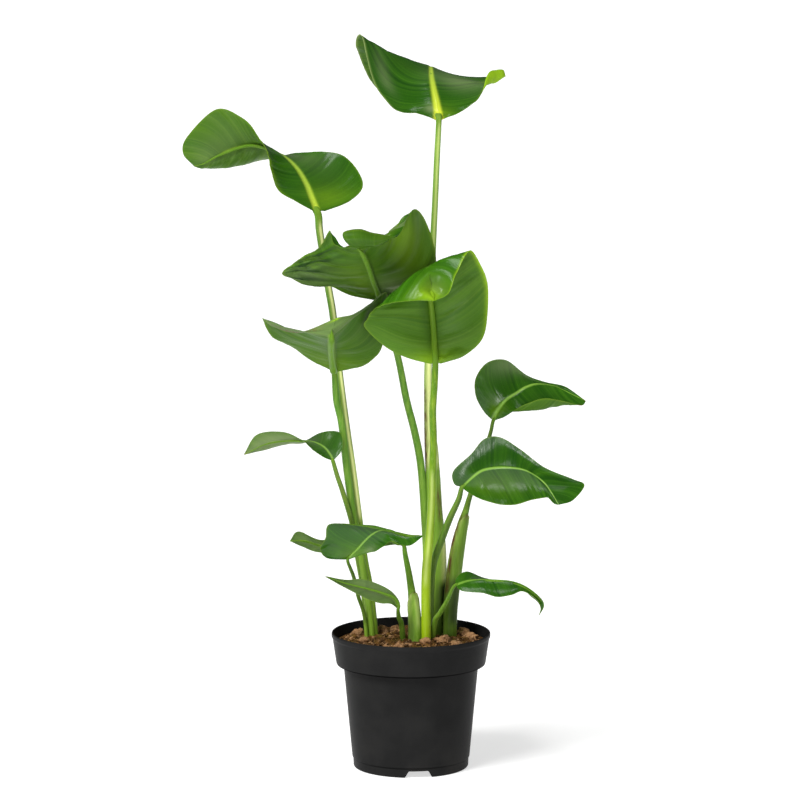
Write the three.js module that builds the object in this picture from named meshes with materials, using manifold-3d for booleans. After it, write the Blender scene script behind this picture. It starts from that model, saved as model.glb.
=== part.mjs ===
// Potted bird of paradise, a young house plant about 1 m tall in a black nursery pot.
// Millimetres, +Z up. The origin is on the pot's axis, at the middle of its underside.
// The plant is seen from -Y: x runs to the right, y runs away from the viewer.
import * as THREE from 'three';
import { mergeVertices } from 'three/addons/utils/BufferGeometryUtils.js';
import Module from 'manifold-3d';

const wasm = await Module();
wasm.setup();

// ---------- driving dimensions ----------
const CLEARANCE = 0.35; // gap kept between two pieces that touch on the plant

const POT = {
  height: 180,
  rimRadius: 105,
  bandRadius: 99, // underside of the wide band below the rim
  bandBottom: 137.5,
  bodyTopRadius: 89.3,
  bodyBottomRadius: 77.4,
  footRadius: 76.2,
  footHeight: 12,
  wall: 1.5,
  lip: 2.4, // thickness of the bead around the rim
  footRing: 3.4, // thickness of the foot ring
  bevel: 1.2, // on the lower edges of the foot and of the band
  draft: 0.4, // how far a bevelled edge leans outwards
  bandRound: 3.4, // height of the rounded underside of the band
  rimRound: 2, // height of the rounded top edge of the rim
  floorRise: 9.5, // the floor stands this far above the table
  floorThickness: 1.6,
  discRadius: 20, // flat disc in the middle of the underside, which rests on the table
  discSlope: 4, // how far the disc's side slopes out on its way up to the floor
  segments: 36, // sides of the pot, and of the mix that fills it
  drainHoles: 6,
  drainRadius: 5,
  drainCircle: 52,
  drainSides: 10,
  notches: 3, // drain openings cut in the foot ring
  notchTop: 26,
  notchBottom: 36,
  notchHeight: 9,
  notchTurn: 7.5, // degrees from the front to the first notch
};

const SOIL = {
  edgeHeight: 167,
  mound: 7, // the middle stands this much higher than the edge
  rings: 5,
  chunks: 28, // bark and clay lumps spread over the surface
  chunkSmall: 4.5,
  chunkLarge: 8,
  wallMargin: 12, // lumps keep this far from the pot's wall
  seed: 21,
  // uneven humps on the surface: height, and the lengths that set how far apart they stand
  broadHump: { height: 1.1, acrossX: 9, acrossY: 7 },
  slantHump: { height: 0.8, across: 15 },
  stemDepth: 36, // how far the shoots run down into the mix
};

const BLADE = {
  halfThickness: 0.45,
  ribRidge: 2.2, // height of the midrib on the underside, at the base of the leaf
  // shares of the half width where a blade has its lines of points, the midrib's edge first
  largeShares: [0.06, 0.35, 0.68, 1],
  smallShares: [0.12, 0.55, 1],
  largeRows: 18, // blades with this many rows or more are large ones
  start: 0.02, // the blade begins and ends a little inside its outline curves,
  end: 0.985, // so that its ends have a small width
};

const STALK = {
  groove: 0.16, // depth of the groove down its front, as a share of the radius
  grooveSharpness: 6, // the higher, the narrower the groove
  stepLength: 34,
  fewestSteps: 6,
  neck: 0.8, // radius inside the base of the blade, as a share of the stalk's top radius
  overlap: 0.03, // share of the midrib that the stalk runs under
};

// Spread of the lumps' half sizes as shares of their nominal one, of their tilt in radians,
// and how far their middles stand proud of the surface.
const CHUNK = {
  length: [0.8, 1.3],
  width: [0.7, 1.1],
  height: [0.5, 0.85],
  tilt: [-0.45, 0.45],
  proud: 0.15,
};

// Larger lumps of bark that lie in plain view: x, y, radius.
const BIG_CHUNKS = [
  [-70, 28, 11],
  [-38, 36, 11],
  [-22, 44, 10],
  [71, 30, 11],
  [79, 10, 10],
  [42, -30, 10],
  [20, -42, 9],
  [-62, -24, 10],
  [-16, -66, 9],
  [60, -52, 10],
];

const FINISH = {
  upperLeaf: { color: 0x2f6a1c, roughness: 0.38 },
  lowerLeaf: { color: 0x4f7f2a, roughness: 0.42 },
  stalk: { color: 0x7fa83a, roughness: 0.45 },
  youngStalk: { color: 0x9dbf2c, roughness: 0.42 },
  pot: { color: 0x232323, roughness: 0.55 },
  soil: { color: 0x6b4a2d, roughness: 0.95 },
};

// ---------- the twelve leaves ----------
// Each blade is spanned by three curves that run from its base to its tip: the midrib and
// the two edges. The edge lists leave out the two ends, which they share with the midrib.
// left and right are as seen on the glossy upper face with the tip up.
// bow is how far each half swells towards the upper face between midrib and edge.
// stalk is the leaf stalk from blade to root: x, y, z, radius.
const LEAVES = [
  {
    name: 'crown',
    blade: 'upperLeaf',
    rows: 20,
    rib: [[37, 8, 856], [34, 20, 874], [30, 34, 893], [27, 50, 910], [26, 72, 923],
      [25, 104, 914], [24, 134, 894], [24, 154, 877], [23, 168, 866]],
    left: [[8, 14, 866], [-23, 18, 871], [-48, 30, 903], [-66, 58, 962], [-72, 82, 947],
      [-54, 116, 903], [-25, 146, 877]],
    right: [[60, 16, 863], [84, 26, 878], [97, 42, 896], [109, 56, 902], [124, 72, 908],
      [102, 112, 897], [68, 142, 880]],
    bow: [-5, -5],
    wave: { height: 1.6, count: 5 },
    stalk: [[36, 9, 854, 3.8], [33.6, 14, 803, 3.9], [31.4, 16, 750, 4], [29, 18, 698, 4.2],
      [27, 20, 645, 4.3], [25, 20, 592, 4.4], [22.5, 20, 537, 4.9], [22.5, 20, 486, 5.4],
      [25, 20, 433, 7.4], [28, 21, 386, 9], [30, 22, 339, 10], [32.5, 23, 286, 12.2],
      [33, 24, 231, 12.8], [33, 24, 164, 13.5]],
    sides: 12,
  },
  {
    name: 'upper_left',
    blade: 'upperLeaf',
    rows: 20,
    rib: [[-121, 0, 734], [-129, 6, 754], [-137, 12, 773], [-150, 18, 793], [-169, 22, 811],
      [-189, 24, 821], [-213, 24, 822], [-239, 20, 815], [-261, 14, 803], [-271, 12, 798],
      [-283, 10, 795]],
    left: [[-150, -6, 750], [-172, -10, 765], [-182, -14, 792], [-188, -10, 817],
      [-200, -4, 838], [-221, 4, 859], [-254, 8, 869], [-291, 8, 834], [-297, 8, 812]],
    right: [[-79, 12, 750], [-63, 22, 773.5], [-91, 34, 808], [-146, 44, 811],
      [-190, 46, 801], [-220, 38, 795], [-247, 28, 791], [-268, 20, 791], [-275, 15, 792]],
    bow: [-3, -6],
    wave: { height: 1, count: 4 },
    stalk: [[-121, 0, 732, 5], [-119, 2, 708, 4.9], [-108.5, 5, 639, 4.8],
      [-102, 6, 599, 4.8], [-94.5, 8, 529, 4.5], [-85.6, 10, 457, 4.7], [-77, 12, 394, 4.9],
      [-70.5, 14, 341, 5], [-62.7, 15, 278, 5.3], [-54, 15, 224, 6], [-46, 15, 166, 6.5]],
    sides: 12,
  },
  {
    name: 'middle',
    blade: 'lowerLeaf',
    rows: 20,
    rib: [[-41, -38, 623.5], [-44, -48, 639], [-49, -62, 653], [-54, -78, 669],
      [-59, -92, 683], [-62, -98, 689], [-64, -104, 694], [-67, -108, 698], [-70, -112, 700],
      [-76, -115, 701], [-81, -117, 702]],
    left: [[-14, -40, 631], [9, -44, 646], [31, -48, 668], [23, -58, 720], [5, -74, 746],
      [-7, -86, 730], [-18, -96, 713], [-40, -106, 703], [-63, -114, 700]],
    right: [[-77, -44, 631], [-110, -55, 645], [-139, -62, 648], [-166, -70, 663],
      [-148, -83, 678], [-117, -97, 700], [-105, -104, 719], [-98.5, -110, 705],
      [-90, -115, 699]],
    // the right half sags between the midrib and its raised point
    rollRight: [[-60, -49, 633], [-80, -63, 645], [-96, -76, 653], [-112, -86, 668],
      [-103, -95, 679], [-90, -102, 689], [-86, -107, 693], [-84, -112, 693],
      [-83, -116, 697]],
    bow: [-3, 0],
    wave: { height: 1.5, count: 6 },
    stalk: [[-41, -37, 622.5, 3.4], [-35, -34, 605, 3.8], [-18, -20, 551, 4.3],
      [-6, -6, 490, 4.7], [5, 4, 445, 4.9], [13, 12, 400, 5], [18, 18, 332, 5],
      [21, 26, 263, 5.2], [20, 32, 162, 6]],
    sides: 10,
  },
  {
    name: 'centre',
    blade: 'lowerLeaf',
    rows: 22,
    rib: [[32, -66, 543], [30, -60, 562], [29, -56, 584], [27, -55, 607], [24, -58, 632],
      [22, -68, 654], [21, -88, 673], [22, -112, 668], [25, -128, 652], [29, -134, 633]],
    left: [[68, -62, 555], [92, -62, 577], [98.5, -64, 612], [98, -70, 650], [89.5, -80, 673],
      [74, -96, 694], [57, -116, 666], [47, -131, 643]],
    right: [[-6, -64, 552.5], [-35, -66, 568], [-60, -72, 593], [-57, -78, 604],
      [-48, -88, 617], [-39, -102, 624], [-18, -122, 630], [5, -134, 634]],
    // both halves arch up where the tip folds over towards the viewer
    rollLeft: [[47, -66, 557], [60, -69, 581], [62, -74, 611], [61, -79, 642],
      [55, -77, 666], [47, -90, 687], [39, -112, 669], [36, -130, 649]],
    rollRight: [[13, -67, 557], [-3, -71, 576], [-16, -77, 600], [-15, -81, 616],
      [-15, -75, 635], [-9, -96, 660], [-1, -120, 651], [15, -132, 645]],
    bow: [0, 0],
    wave: { height: 1, count: 4 },
    stalk: [[31, -66, 542, 4.2], [30, -60, 516, 4.4], [28, -54, 482, 4.6],
      [29, -46, 441, 4.7], [28, -40, 400, 4.9], [27, -35, 358, 5.2], [24, -31, 311, 5.6],
      [20, -29, 266, 6], [19.5, -29, 219, 6.2], [20.5, -30, 165, 6.4]],
    stalkFinish: 'youngStalk',
    sides: 12,
  },
  {
    name: 'mid_left',
    blade: 'lowerLeaf',
    rows: 18,
    rib: [[-100, -15, 528], [-101, -30, 543], [-102, -50, 557], [-103, -72, 570],
      [-103, -96, 582], [-102, -99, 591], [-99, -95, 598], [-95, -88, 607]],
    left: [[-80, -20, 532], [-55, -26, 542], [-37, -36, 566], [-31, -56, 634],
      [-51, -70, 623], [-74, -80, 611]],
    right: [[-128, -24, 543], [-155, -37, 563], [-182, -50, 581], [-192, -64, 604],
      [-177, -70, 593], [-143, -81, 587.5]],
    // the right half sags between the midrib and its tip
    rollRight: [[-114.5, -27, 543], [-128.5, -43.5, 560], [-142.5, -61, 575.5],
      [-147.5, -80, 586], [-139.5, -84.5, 584], [-121, -88, 588]],
    bow: [0, 0],
    wave: { height: 1, count: 4 },
    stalk: [[-100, -15, 527, 4], [-97.5, -10, 490, 4.6], [-91, -6, 459, 4.8],
      [-84, 0, 396, 5], [-77, 4, 342, 5], [-66.5, 9, 279, 5.2], [-57.5, 10, 225, 5.4],
      [-49, 10, 167, 5.6]],
    sides: 10,
  },
  {
    name: 'small_left',
    blade: 'upperLeaf',
    rows: 14,
    rib: [[-102, -18, 411], [-106, -20, 420], [-114, -22, 430], [-126, -24, 437],
      [-140, -26, 440], [-161, -30, 440], [-187, -36, 437], [-218, -44, 423]],
    left: [[-113, -24, 416], [-125, -30, 425], [-135, -32, 434], [-145, -30, 442],
      [-168, -30, 451], [-201, -34, 448]],
    right: [[-90, -20, 427], [-93, -16, 448], [-117, -6, 447], [-142, -6, 435],
      [-164, -16, 433], [-190, -26, 427]],
    bow: [-2, -3],
    wave: { height: 0.5, count: 3 },
    stalk: [[-102, -18, 410, 2.6], [-96.6, -14, 390, 3], [-89.5, -9, 368, 3.3],
      [-77.5, 1, 324, 3.5], [-70.5, 8, 279, 3.6], [-62, 14, 224, 3.7], [-54, 20, 167, 3.8]],
    sides: 8,
  },
  {
    name: 'low_left',
    blade: 'upperLeaf',
    rows: 14,
    rib: [[-83, -26, 281], [-79, -32, 288], [-70, -38, 298], [-61, -44, 309], [-51, -50, 319],
      [-39, -55, 325], [-21, -60, 323], [-3, -64, 319.5], [17, -68, 321]],
    left: [[-110, -30, 284], [-119, -36, 297], [-112, -40, 312], [-107, -42, 331],
      [-77, -50, 331], [-38, -58, 326], [-9, -62, 319]],
    right: [[-69, -38, 288], [-55, -46, 294], [-46, -52, 297], [-37, -58, 304],
      [-25, -62, 312], [-14, -66, 308], [0, -68, 308]],
    bow: [-4, -2],
    wave: { height: 0.8, count: 3 },
    stalk: [[-83, -26, 279, 2.1], [-75.5, -18, 257, 2.5], [-69.5, -8, 229, 2.6],
      [-61, 2, 197, 2.6], [-56, 6, 168, 2.8]],
    sides: 8,
  },
  {
    name: 'lowest_left',
    blade: 'lowerLeaf',
    rows: 12,
    rib: [[-17, -52, 220], [-22, -55, 233], [-33, -58, 240], [-48, -62, 246], [-68, -66, 252],
      [-89, -69, 258], [-112, -74, 268]],
    left: [[-15, -48, 229], [-26, -52, 244], [-44, -56, 255], [-67, -62, 262],
      [-85, -68, 262]],
    right: [[-26, -62, 229], [-41, -66, 231], [-59, -70, 238], [-77, -72, 248],
      [-94, -73, 257]],
    bow: [2, 2],
    wave: { height: 0.4, count: 3 },
    stalk: [[-17, -52, 219, 2.3], [-16, -40, 207, 3.1], [-12, -24, 190, 3.5],
      [-8, -8, 164, 3.9]],
    sides: 8,
  },
  {
    name: 'back_left',
    blade: 'lowerLeaf',
    rows: 12,
    rib: [[-11, 14, 295], [-34, 20, 302], [-74, 28, 294], [-114, 34, 289], [-141, 34, 296],
      [-161, 32, 296]],
    left: [[-33, 16, 312], [-74, 22, 308], [-118, 30, 298], [-149, 30, 309]],
    right: [[-33, 24, 291], [-78, 34, 280], [-124, 38, 280], [-145, 36, 288]],
    bow: [2, 2],
    wave: { height: 0.6, count: 3 },
    stalk: [[-10, 14, 294, 2.6], [-7.5, 9, 281, 3.4], [-3, 1, 259, 4.2], [0.5, -7, 238, 5],
      [3, -13, 220, 6.6], [5, -22, 195, 7.2], [5.5, -33, 162, 7.8]],
    sides: 12,
  },
  {
    name: 'upper_right',
    blade: 'upperLeaf',
    rows: 18,
    rib: [[108, 18, 459], [112, 14, 470], [119, 10, 481], [127, 8, 490], [138, 8, 497],
      [151, 10, 505], [167, 14, 509], [189, 16, 506], [209, 14, 496], [230, 12, 486]],
    left: [[96, 12, 472], [85, 8, 493], [85, 10, 517], [101, 16, 537], [125, 22, 539],
      [151, 22, 520], [179, 20, 510], [204, 16, 504]],
    right: [[121, 6, 465], [131, 0, 472], [145, -12, 483], [162, -18, 491], [179, -16, 493],
      [195, -8, 490], [212, 2, 484], [225, 8, 481]],
    // the right half rolls up towards the viewer around these points
    rollRight: [[117, 10, 466], [126, 3, 471], [139, -6, 464], [153, -12, 458],
      [169, -10, 457], [184, -2, 464], [201, 4, 475], [218, 8, 484]],
    bow: [-4, 0],
    wave: { height: 0.6, count: 4 },
    stalk: [[108, 18, 458, 2.4], [104, 18, 440, 2.6], [91, 17, 399, 2.9],
      [78.5, 16, 361, 3.4], [72.7, 16, 340, 4.3], [66.2, 15, 314, 7], [58.5, 13, 265, 8.3],
      [53.5, 11, 220, 8.1], [52, 10, 193, 7.8], [51, 10, 159, 7.6]],
    sides: 12,
  },
  {
    name: 'mid_right',
    blade: 'upperLeaf',
    rows: 18,
    rib: [[66, -42, 380], [73, -48, 388], [82, -54, 397], [93, -60, 405], [109, -66, 409],
      [127, -71, 410], [145, -75, 408], [160, -78, 401], [173, -80, 390], [181, -81, 379],
      [186, -82, 371], [191, -82, 363]],
    left: [[56, -44, 385], [55, -46, 402], [78, -50, 425], [95, -54, 445], [115, -58, 448],
      [140, -64, 434], [171, -70, 411], [209, -76, 396], [224, -78, 388], [209, -82, 369]],
    right: [[73, -50, 375], [87, -58, 368], [102, -64, 364], [119, -70, 361],
      [136, -74, 362], [154, -76, 368], [169, -78, 371], [177, -80, 372], [182, -82, 367],
      [186, -82, 364]],
    bow: [-4, -5],
    wave: { height: 0.8, count: 4 },
    stalk: [[66, -42, 379, 3], [62, -38, 363, 3.6], [50, -30, 335, 4.4],
      [39.5, -22, 305, 4.6], [29, -11, 270, 4.6], [26, -3, 223, 4.4], [25, 0, 169, 4.4]],
    sides: 8,
  },
  {
    name: 'low_right',
    blade: 'upperLeaf',
    rows: 16,
    rib: [[57, -64, 254], [64, -68, 258], [74, -72, 262], [89, -77, 265], [109, -80, 265],
      [128, -84, 264], [145, -86, 259], [159, -88, 250], [170, -88, 239], [172, -88, 230],
      [166, -88, 219]],
    left: [[60, -58, 264], [73, -52, 270], [93, -50, 262.5], [111, -54, 258.5],
      [129, -58, 254], [145, -64, 250], [157, -72, 240], [165, -80, 234], [168, -85, 227]],
    right: [[65, -74, 249], [78, -80, 248], [93, -86, 248], [111, -92, 244],
      [129, -94, 247], [143, -94, 252], [154, -93, 247], [164, -92, 239], [168, -90, 230]],
    bow: [-2, -3],
    wave: { height: 0.4, count: 3 },
    stalk: [[56, -64, 253, 2], [47, -50, 231, 2.6], [38, -36, 212, 3.2], [30, -22, 192, 4],
      [25, -12, 167, 4.6]],
    sides: 8,
  },
];

// Where stalks press together at the root, the one named here is shaped around the others.
const GIVES_WAY_TO = {
  crown: ['middle'],
  upper_left: ['mid_left', 'small_left', 'low_left'],
  small_left: ['mid_left', 'low_left'],
  mid_left: ['low_left'],
  mid_right: ['low_right'],
};

// ---------- shared helpers ----------
const vector = (point) => new THREE.Vector3(...point.slice(0, 3));
const curve = (points) => new THREE.CatmullRomCurve3(points, false, 'catmullrom', 0.5);

function seededRandom(seed) {
  let state = seed >>> 0;
  return () => {
    state = (Math.imul(state, 1664525) + 1013904223) >>> 0;
    return state / 4294967296;
  };
}

/** Closed solid from any watertight geometry, whatever its winding and loose seams. */
function toSolid(geometry) {
  const bare = new THREE.BufferGeometry();
  bare.setAttribute('position', geometry.getAttribute('position').clone());
  if (geometry.index) bare.setIndex(Array.from(geometry.index.array));
  const merged = mergeVertices(bare, 1e-4);
  const index = merged.index.array;
  const faces = [];
  for (let i = 0; i < index.length; i += 3) {
    const [a, b, c] = [index[i], index[i + 1], index[i + 2]];
    if (a !== b && b !== c && c !== a) faces.push(a, b, c);
  }
  const mesh = new wasm.Mesh({
    numProp: 3,
    vertProperties: new Float32Array(merged.getAttribute('position').array),
    triVerts: new Uint32Array(faces),
  });
  return new wasm.Manifold(mesh);
}

function toGeometry(solid) {
  const mesh = solid.getMesh();
  const geometry = new THREE.BufferGeometry();
  geometry.setAttribute('position', new THREE.BufferAttribute(mesh.vertProperties, 3));
  geometry.setIndex(new THREE.BufferAttribute(mesh.triVerts, 1));
  geometry.computeVertexNormals();
  return geometry;
}

/** The largest piece that is left after a cut. */
function largest(solid) {
  const pieces = solid.decompose();
  return pieces.reduce((best, piece) => (piece.volume() > best.volume() ? piece : best));
}

function geometryOf(points, faces) {
  const geometry = new THREE.BufferGeometry();
  const places = points.flatMap((p) => p.toArray());
  geometry.setAttribute('position', new THREE.Float32BufferAttribute(places, 3));
  geometry.setIndex(faces);
  return geometry;
}

const group = new THREE.Group();

function addPiece(name, geometry, finish) {
  const material = new THREE.MeshStandardMaterial({ ...finish, metalness: 0 });
  const mesh = new THREE.Mesh(geometry, material);
  mesh.name = name;
  group.add(mesh);
}

// ---------- leaf blades ----------
/**
 * One half of a row: each point lies on the arc from the midrib m to the edge e that bends
 * around c, lifted off the blade by a wave that grows with the square of the distance.
 */
function halfRow(m, e, c, lift, shares) {
  return shares.map((v) => new THREE.Vector3()
    .addScaledVector(m, (1 - v) ** 2)
    .addScaledVector(c, 2 * v * (1 - v))
    .addScaledVector(e, v * v)
    .addScaledVector(lift, v * v));
}

/** Rows of points across the middle surface of a blade, from its base to its tip. */
function bladeRows(leaf) {
  const rib = curve(leaf.rib.map(vector));
  const base = vector(leaf.rib[0]);
  const tip = vector(leaf.rib.at(-1));
  const edge = (list) => curve([base, ...list.map(vector), tip]);
  const halves = [
    { line: edge(leaf.left), sign: -1, bow: leaf.bow[0], roll: leaf.rollLeft },
    { line: edge(leaf.right), sign: 1, bow: leaf.bow[1], roll: leaf.rollRight },
  ];
  const shares = leaf.rows >= BLADE.largeRows ? BLADE.largeShares : BLADE.smallShares;
  const rows = [];
  for (let i = 0; i <= leaf.rows; i++) {
    const u = BLADE.start + ((BLADE.end - BLADE.start) * i) / leaf.rows;
    const m = rib.getPoint(u);
    const along = rib.getTangent(u);
    const [left, right] = halves.map(({ line, sign, bow, roll }) => {
      const e = line.getPoint(u);
      const up = e.clone().sub(m).multiplyScalar(sign).cross(along).normalize();
      const swell = Math.sin(Math.PI * u);
      const arch = m.clone().add(e).multiplyScalar(0.5).addScaledVector(up, 2 * bow * swell);
      const c = roll ? edge(roll).getPoint(u) : arch;
      const turn = 2 * Math.PI * leaf.wave.count * u + sign;
      const lift = up.multiplyScalar(leaf.wave.height * swell * Math.sin(turn));
      return halfRow(m, e, c, lift, shares);
    });
    rows.push([...left.reverse(), m, ...right]);
  }
  return rows;
}

/** Direction of the upper face at each point of the rows, from the lines through it. */
function upperNormals(rows) {
  const last = rows.length - 1;
  const wide = rows[0].length - 1;
  return rows.map((row, i) => row.map((_, j) => {
    const along = rows[Math.min(i + 1, last)][j].clone().sub(rows[Math.max(i - 1, 0)][j]);
    const across = row[Math.min(j + 1, wide)].clone().sub(row[Math.max(j - 1, 0)]);
    return across.cross(along).normalize();
  }));
}

/** A blade of even thickness with the midrib standing out of its underside. */
function bladeSolid(leaf) {
  const rows = bladeRows(leaf);
  const normals = upperNormals(rows);
  const wide = rows[0].length;
  const middle = (wide - 1) / 2;
  const face = (side) => rows.flatMap((row, i) => row.map((point, j) => {
    const taper = 1 - i / leaf.rows;
    const ridge = side < 0 && j === middle ? BLADE.ribRidge * taper : 0;
    return point.clone().addScaledVector(normals[i][j], side * (BLADE.halfThickness + ridge));
  }));
  const points = [...face(1), ...face(-1)];
  const lower = rows.length * wide;
  const faces = [];
  const quad = (a, b, c, d) => faces.push(a, b, c, a, c, d);
  for (let i = 0; i < rows.length - 1; i++) {
    for (let j = 0; j < wide - 1; j++) {
      const a = i * wide + j;
      const d = a + wide;
      quad(a, a + 1, d + 1, d);
      quad(lower + a, lower + d, lower + d + 1, lower + a + 1);
    }
  }
  // the outline, walked once around, joins the two faces
  const outline = [];
  for (let j = 0; j < wide - 1; j++) outline.push(j);
  for (let i = 0; i < rows.length - 1; i++) outline.push(i * wide + wide - 1);
  for (let j = wide - 1; j > 0; j--) outline.push((rows.length - 1) * wide + j);
  for (let i = rows.length - 1; i > 0; i--) outline.push(i * wide);
  outline.forEach((a, k) => {
    const b = outline[(k + 1) % outline.length];
    quad(b, a, lower + a, lower + b);
  });
  return toSolid(geometryOf(points, faces));
}

// ---------- leaf stalks ----------
/** Round stalk of changing radius along its path, with a shallow groove down its front. */
function stalkSolid(leaf, extra = 0) {
  const path = curve(leaf.stalk.map(vector));
  const radius = curve(leaf.stalk.map((p) => new THREE.Vector3(p[3], 0, 0)));
  const ribFoot = curve(leaf.rib.map(vector)).getPoint(STALK.overlap);
  const steps = Math.max(STALK.fewestSteps, Math.round(path.getLength() / STALK.stepLength));
  const neck = STALK.neck * radius.getPoint(0).x;
  const stations = [{ centre: ribFoot, along: path.getTangent(0), r: neck }];
  for (let i = 0; i <= steps; i++) {
    const t = i / steps;
    stations.push({ centre: path.getPoint(t), along: path.getTangent(t), r: radius.getPoint(t).x });
  }
  stations.at(-1).centre.z -= SOIL.stemDepth;
  stations[0].centre.addScaledVector(stations[0].along, -extra);
  const points = stations.flatMap(({ centre, along, r }) => {
    const side = new THREE.Vector3(1, 0, 0).addScaledVector(along, -along.x).normalize();
    const front = side.clone().cross(along);
    return Array.from({ length: leaf.sides }, (_, k) => {
      const angle = (2 * Math.PI * k) / leaf.sides;
      const facing = Math.max(0, Math.sin(angle)) ** STALK.grooveSharpness;
      const size = (r + extra) * (1 - STALK.groove * facing);
      return centre.clone()
        .addScaledVector(side, size * Math.cos(angle))
        .addScaledVector(front, size * Math.sin(angle));
    });
  });
  const n = leaf.sides;
  const faces = [];
  for (let i = 0; i < stations.length - 1; i++) {
    for (let k = 0; k < n; k++) {
      const [a, b] = [i * n + k, i * n + ((k + 1) % n)];
      faces.push(a, b + n, b, a, a + n, b + n);
    }
  }
  const foot = (stations.length - 1) * n;
  for (let k = 1; k < n - 1; k++) {
    faces.push(0, k, k + 1);
    faces.push(foot, foot + k + 1, foot + k);
  }
  return toSolid(geometryOf(points, faces));
}

// ---------- pot ----------
function latheSolid(outline, segments) {
  const points = outline.map(([r, z]) => new THREE.Vector2(r, z));
  const geometry = new THREE.LatheGeometry(points, segments);
  geometry.rotateX(Math.PI / 2);
  return toSolid(geometry);
}

function potSolid() {
  const { wall, lip, bevel, draft, bandBottom, height } = POT;
  const { discRadius: disc, footRadius: foot, bandRadius: band, rimRadius: rim } = POT;
  const floorTop = POT.floorRise + POT.floorThickness;
  const bodyInside = POT.bodyTopRadius - wall;
  const bandInner = band - wall;
  const outline = [
    [0, 0],
    [disc, 0],
    [disc + POT.discSlope, POT.floorRise],
    [foot - POT.footRing - draft, POT.floorRise],
    [foot - POT.footRing, 0],
    [foot - bevel, 0],
    [foot, bevel],
    [foot + draft, POT.footHeight],
    [POT.bodyBottomRadius + draft, POT.footHeight + bevel],
    [POT.bodyTopRadius, bandBottom],
    [band - bevel - draft, bandBottom],
    [band - draft, bandBottom + bevel],
    [band, bandBottom + POT.bandRound],
    [rim, height - POT.rimRound],
    [rim - draft, height],
    [rim - lip + draft, height],
    [rim - lip, height - POT.rimRound],
    [bandInner, bandBottom + wall + POT.rimRound],
    [bandInner - draft, bandBottom + wall],
    [bodyInside, bandBottom + wall],
    [POT.bodyBottomRadius - wall, floorTop],
    [disc + POT.discSlope - wall, floorTop],
    [disc - wall, POT.floorThickness],
    [0, POT.floorThickness],
  ];
  let pot = latheSolid(outline, POT.segments);
  for (let k = 0; k < POT.drainHoles; k++) pot = pot.subtract(drainSolid(k));
  for (let k = 0; k < POT.notches; k++) pot = pot.subtract(notchSolid(k));
  return pot;
}

/** Cutter for one round hole in the floor. */
function drainSolid(k) {
  const reach = 2 * POT.floorRise;
  const angle = (2 * Math.PI * (k + 0.5)) / POT.drainHoles;
  const { drainRadius: radius, drainCircle: circle } = POT;
  const hole = new THREE.CylinderGeometry(radius, radius, reach, POT.drainSides);
  hole.rotateX(Math.PI / 2);
  hole.translate(circle * Math.cos(angle), circle * Math.sin(angle), POT.floorRise);
  return toSolid(hole);
}

/** Cutter for one opening in the foot ring: straight below the table, then sloping sides. */
function notchSolid(k) {
  const [wide, narrow] = [POT.notchBottom / 2, POT.notchTop / 2];
  const below = -POT.bevel;
  const outline = [
    [-wide, below], [wide, below], [wide, 0],
    [narrow, POT.notchHeight], [-narrow, POT.notchHeight], [-wide, 0],
  ];
  const arch = new THREE.Shape(outline.map(([x, z]) => new THREE.Vector2(x, z)));
  const [inside, outside] = [2 * POT.footRing, POT.footRing];
  const depth = inside + outside;
  const cutter = new THREE.ExtrudeGeometry(arch, { depth, bevelEnabled: false });
  cutter.rotateX(Math.PI / 2);
  cutter.translate(0, inside - POT.footRadius, 0);
  cutter.rotateZ(THREE.MathUtils.degToRad(POT.notchTurn) + (2 * Math.PI * k) / POT.notches);
  return toSolid(cutter);
}

// ---------- potting mix ----------
/** Inner radius of the pot's wide band at a height between its underside and its rim. */
function bandInside(z) {
  const low = POT.bandBottom + POT.wall + POT.rimRound;
  const share = (z - low) / (POT.height - POT.rimRound - low);
  return THREE.MathUtils.lerp(POT.bandRadius - POT.wall, POT.rimRadius - POT.lip, share);
}

/** Height of the loose surface: a low mound with shallow, uneven humps. */
function soilHeight(x, y) {
  const { broadHump: broad, slantHump: slant } = SOIL;
  const share = Math.min(1, Math.hypot(x, y) / bandInside(SOIL.edgeHeight));
  const humps = broad.height * Math.sin(x / broad.acrossX) * Math.cos(y / broad.acrossY)
    + slant.height * Math.sin((x - 2 * y) / slant.across);
  return SOIL.edgeHeight + SOIL.mound * (1 - share ** 2) + humps * (1 - share ** 4);
}

function soilBody() {
  const floorTop = POT.floorRise + POT.floorThickness;
  const shoulder = POT.bandBottom + POT.wall;
  const gap = CLEARANCE;
  const topRadius = bandInside(SOIL.edgeHeight) - gap;
  const outline = [
    [0, POT.floorThickness + gap],
    [POT.discRadius - POT.wall - gap, POT.floorThickness + gap],
    [POT.discRadius + POT.discSlope - POT.wall - gap, floorTop + gap],
    [POT.bodyBottomRadius - POT.wall - gap, floorTop + gap],
    [POT.bodyTopRadius - POT.wall - gap, shoulder + gap],
    [POT.bandRadius - POT.wall - POT.draft - gap, shoulder + gap],
    [topRadius, SOIL.edgeHeight],
  ];
  for (let k = SOIL.rings - 1; k >= 0; k--) {
    outline.push([(topRadius * k) / SOIL.rings, SOIL.edgeHeight]);
  }
  const profile = outline.map(([r, z]) => new THREE.Vector2(r, z));
  const geometry = new THREE.LatheGeometry(profile, POT.segments);
  geometry.rotateX(Math.PI / 2);
  const position = geometry.getAttribute('position');
  for (let i = 0; i < position.count; i++) {
    const [x, y, z] = [position.getX(i), position.getY(i), position.getZ(i)];
    if (Math.abs(z - SOIL.edgeHeight) < 1e-3) position.setZ(i, soilHeight(x, y));
  }
  return toSolid(geometry);
}

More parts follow.
